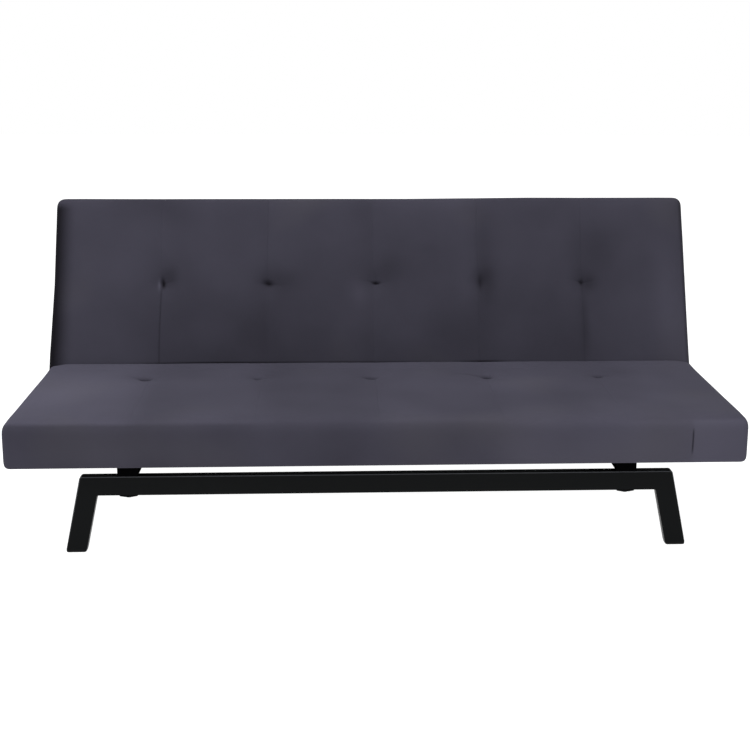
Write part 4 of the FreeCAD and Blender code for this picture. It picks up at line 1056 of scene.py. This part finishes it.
class SOFABED_OT_inside(bpy.types.Operator):
    """Finish the timber frames, hinges, dust sheets and straps"""
    bl_idname = "sofabed.inside"
    bl_label = "Frames, webbing and hinges"

    FINISHES = {"wood": "timber", "hinge_steel": "hinge_paint", "zinc_steel": "zinc_plate"}

    def execute(self, context):
        for part in frame["record"]["subparts"]:
            if part["material_slot"] in self.FINISHES:
                materials = frame["nodes"][part["node"]].data.materials
                materials.clear()
                materials.append(bpy.data.materials[self.FINISHES[part["material_slot"]]])
        for make in (self.sheet, self.straps):
            make("seat", "base")
            make("back", "back")
        return {"FINISHED"}

    def sheet(self, cushion, body):
        """Spunbonded sheet stapled over a cushion's underside, a little slack between its staples."""
        name = cushion + "_dust_sheet"
        lo, hi = corners(cushion + "_dust_cover", LAID[body])
        points, faces = box_grid(np.linspace(lo.x, hi.x, 181), np.linspace(lo.y, hi.y, 49), (lo.z, hi.z))
        x, y, _ = points.T
        inset = np.minimum(np.minimum(x - lo.x, hi.x - x), np.minimum(y - lo.y, hi.y - y))
        points[:, 2] += 0.25 * MM * wander(x, y, 31, 0.12) * ramp(inset, 0, 50 * MM)
        piece = add_piece(name, points, faces, "dust_cloth")
        turn_piece(piece, LAID[body].inverted())
        finish_piece(piece, body, "lining", cushion + "_dust_cover")
        cushion + "_cushion"
        self.staples(name + "_staples", lo, hi, body)

    def staples(self, name, lo, hi, body):
        """Wire staples along a sheet's edges, not quite in line."""
        inset, pitch = 6 * MM, 45 * MM
        half, wire = 5 * MM, 0.45 * MM
        across = np.arange(lo.x + 25 * MM, hi.x - 20 * MM, pitch)
        along = np.arange(lo.y + 25 * MM, hi.y - 20 * MM, pitch)
        spots = [(x, y, lo.z) for x in across for y in (lo.y + inset, hi.y - inset)]
        spots += [(x, y, lo.z) for y in along for x in (lo.x + inset, hi.x - inset)]
        turns = [-0.15 + math.pi / 2 * (i >= 2 * len(across)) for i in range(len(spots))]
        points, faces = box_grid(np.linspace(-half, half, 4), (-wire, wire), (-0.2 * MM, 0.35 * MM))
        pattern = outward(add_piece("staple", points, faces))
        piece = set_on_points(name, spots, [(0, 0, -1)] * len(spots), pattern, "zinc_plate", 9, 0.3, turns)
        turn_piece(piece, LAID[body].inverted())
        finish_piece(piece, body, "zinc_steel")

    def straps(self, cushion, body):
        """Elastic straps with thin edges, a little slack between the rails."""
        node = cushion + "_webbing"
        solids = solids_of(node, LAID[body])
        half = (solids[0][1] - solids[0][0]) / 2
        points, faces = box_grid(*(np.linspace(-h, h, count) for h, count in zip(half, (13, 49, 3))))
        x, y, z = points.T
        points[:, 2] -= 0.4 * MM * ramp(np.abs(x), half.x - 3 * MM, half.x) * z / half.z
        free = ramp(np.abs(y), half.y - 30 * MM, half.y - 70 * MM)
        points[:, 2] -= free * (0.5 * MM + 0.3 * MM * np.cos(y * 31))
        pattern = outward(add_piece("strap", points, faces))
        spots = [(low + high) / 2 for low, high in solids]
        piece = set_on_points(node + "_woven", spots, [(0, 0, 1)] * len(spots), pattern, "woven_strap", spin=0.0)
        turn_piece(piece, LAID[body].inverted())
        finish_piece(piece, body, "webbing", node)


class SOFABED_OT_finishes(bpy.types.Operator):
    """Make the velvet, coats, timber and cloths"""
    bl_idname = "sofabed.finishes"
    bl_label = "Finishes"

    def execute(self, context):
        settings = context.scene.sofabed_finishes
        velvet(settings)
        powder_coat("powder_coat", settings.frame_black)
        # Side bars: the powder coat at half brightness, rougher and without shine, painted shade under the seat
        powder_coat("bar_coat", [c * 0.5 for c in settings.frame_black], 0.75, 0.0)
        powder_coat("hinge_paint", (0.010, 0.010, 0.011), 0.48)
        moulded_plastic("moulded_plastic", (0.0024, 0.0026, 0.0028), 0.42, 0.07)
        # Plugs in the side bars' ends: a darker, duller copy of the plastic, painted shade under the seat
        moulded_plastic("plug_plastic", (0.0007, 0.0007, 0.0009), 0.7, 0.01)
        zinc_plate()
        timber(settings)
        woven("woven_strap", (0.02, 0.018, 0.016), (0.11, 0.10, 0.085), 2.4 * MM)
        woven("dust_cloth", (0.006, 0.006, 0.007), (0.020, 0.020, 0.022), 0.9 * MM)
        return {"FINISHED"}


# Stage

# Camera that matches the photograph, fitted to the edges of seat, back and rail
CAMERA_SPOT = Vector((-0.0978, -3.16739, 1.2606))
CAMERA_YAW = -0.0474
CAMERA_PITCH = 0.2464
CAMERA_ROLL = 0.0063
SENSOR = 36.0
PHOTO = 750.0
FOCAL_PIXELS = 1212.49
AXIS_PIXEL = (394.76, 335.97)
FLOOR_HALF = 12.0


class SOFABED_OT_stage(bpy.types.Operator):
    """Set the camera, lights and floor"""
    bl_idname = "sofabed.stage"
    bl_label = "Stage"

    def execute(self, context):
        studio = context.scene.sofabed_studio
        self.camera()
        self.floor(studio)
        self.room(studio)
        target = Vector((0, 0.1, 0.4))
        self.soft_box("key_light", (-0.4, -2.9, 3.3), target, 3.4, 2.2, studio.key)
        self.soft_box("side_light", (-3.3, -0.9, 1.9), target, 1.6, 2.4, studio.side)
        self.soft_box("top_light", (0, 0.1, 3.4), target, 3.6, 1.6, studio.top)
        context.scene.view_settings.view_transform = "Standard"
        return {"FINISHED"}

    def camera(self):
        data = bpy.data.cameras.new("camera")
        data.sensor_width = SENSOR
        data.sensor_fit = "HORIZONTAL"
        data.lens = FOCAL_PIXELS / PHOTO * SENSOR
        data.shift_x = 0.5 - AXIS_PIXEL[0] / PHOTO
        data.shift_y = AXIS_PIXEL[1] / PHOTO - 0.5
        camera = bpy.data.objects.new("camera", data)
        yaw = Matrix.Rotation(CAMERA_YAW, 4, "Z")
        pitch = Matrix.Rotation(math.pi / 2 - CAMERA_PITCH, 4, "X")
        roll = Matrix.Rotation(CAMERA_ROLL, 4, "Z")
        camera.matrix_world = Matrix.Translation(CAMERA_SPOT) @ yaw @ pitch @ roll
        bpy.context.scene.collection.objects.link(camera)
        bpy.context.scene.camera = camera

    def floor(self, studio):
        grid = [-FLOOR_HALF, 0.0, FLOOR_HALF]
        points = [(x, y, 0) for y in grid for x in grid]
        faces = [(i + 3 * j, i + 1 + 3 * j, i + 4 + 3 * j, i + 3 + 3 * j) for j in (0, 1) for i in (0, 1)]
        f = Finish("floor")
        base = f.mix(f.noise(3.0), [studio.floor * 0.985] * 3, [studio.floor] * 3)
        f.surface(
            Base_Color=base, Roughness=0.7, Specular_IOR_Level=0.1, Emission_Color=(1, 1, 1),
            Emission_Strength=studio.glow)
        add_piece("floor", points, faces, "floor", False)

    def room(self, studio):
        """Plain white behind the sofa, and a weaker light from all round."""
        world = bpy.data.worlds.new("room")
        world.use_nodes = True
        world.node_tree.nodes.clear()
        new = functools.partial(add_node, world.node_tree)
        white = {"Color": (1, 1, 1, 1)}
        seen = new("ShaderNodeBackground", None, white)
        light = new("ShaderNodeBackground", None, {**white, "Strength": studio.world})
        path = new("ShaderNodeLightPath")
        mix = new("ShaderNodeMixShader", None, {
            0: path.outputs["Is Camera Ray"], 1: light.outputs[0], 2: seen.outputs[0]})
        new("ShaderNodeOutputWorld", None, {"Surface": mix.outputs[0]})
        bpy.context.scene.world = world

    def soft_box(self, name, spot, target, wide, high, power):
        data = bpy.data.lights.new(name, "AREA")
        data.shape = "RECTANGLE"
        data.size = wide
        data.size_y = high
        data.energy = power
        lamp = bpy.data.objects.new(name, data)
        lamp.location = spot
        lamp.rotation_euler = (target - Vector(spot)).to_track_quat("-Z", "Y").to_euler()
        bpy.context.scene.collection.objects.link(lamp)


class SOFABED_PT_panel(bpy.types.Panel):
    bl_label = "Sofa bed"
    bl_idname = "SOFABED_PT_panel"
    bl_space_type = "VIEW_3D"
    bl_region_type = "UI"
    bl_category = "Sofa bed"

    def draw(self, context):
        for group in SETTINGS:
            settings = getattr(context.scene, group)
            box = self.layout.box()
            for name in settings.__annotations__:
                box.prop(settings, name)
        for operator in OPERATORS:
            self.layout.operator(operator.bl_idname)


SETTINGS = {
    "sofabed_cushions": CushionSettings,
    "sofabed_finishes": FinishSettings,
    "sofabed_studio": StudioSettings,
}
OPERATORS = (
    SOFABED_OT_stage,
    SOFABED_OT_finishes,
    SOFABED_OT_seat,
    SOFABED_OT_back,
    SOFABED_OT_base,
    SOFABED_OT_fasteners,
    SOFABED_OT_inside,
)
CLASSES = tuple(SETTINGS.values()) + OPERATORS + (SOFABED_PT_panel,)


def register():
    for cls in CLASSES:
        bpy.utils.register_class(cls)
    for name, cls in SETTINGS.items():
        setattr(bpy.types.Scene, name, bpy.props.PointerProperty(type=cls))


def unregister():
    for name in SETTINGS:
        delattr(bpy.types.Scene, name)
    for cls in reversed(CLASSES):
        bpy.utils.unregister_class(cls)


def main():
    register()
    for operator in OPERATORS:
        group, name = operator.bl_idname.split(".")
        getattr(getattr(bpy.ops, group), name)()


if __name__ == "__main__":
    main()
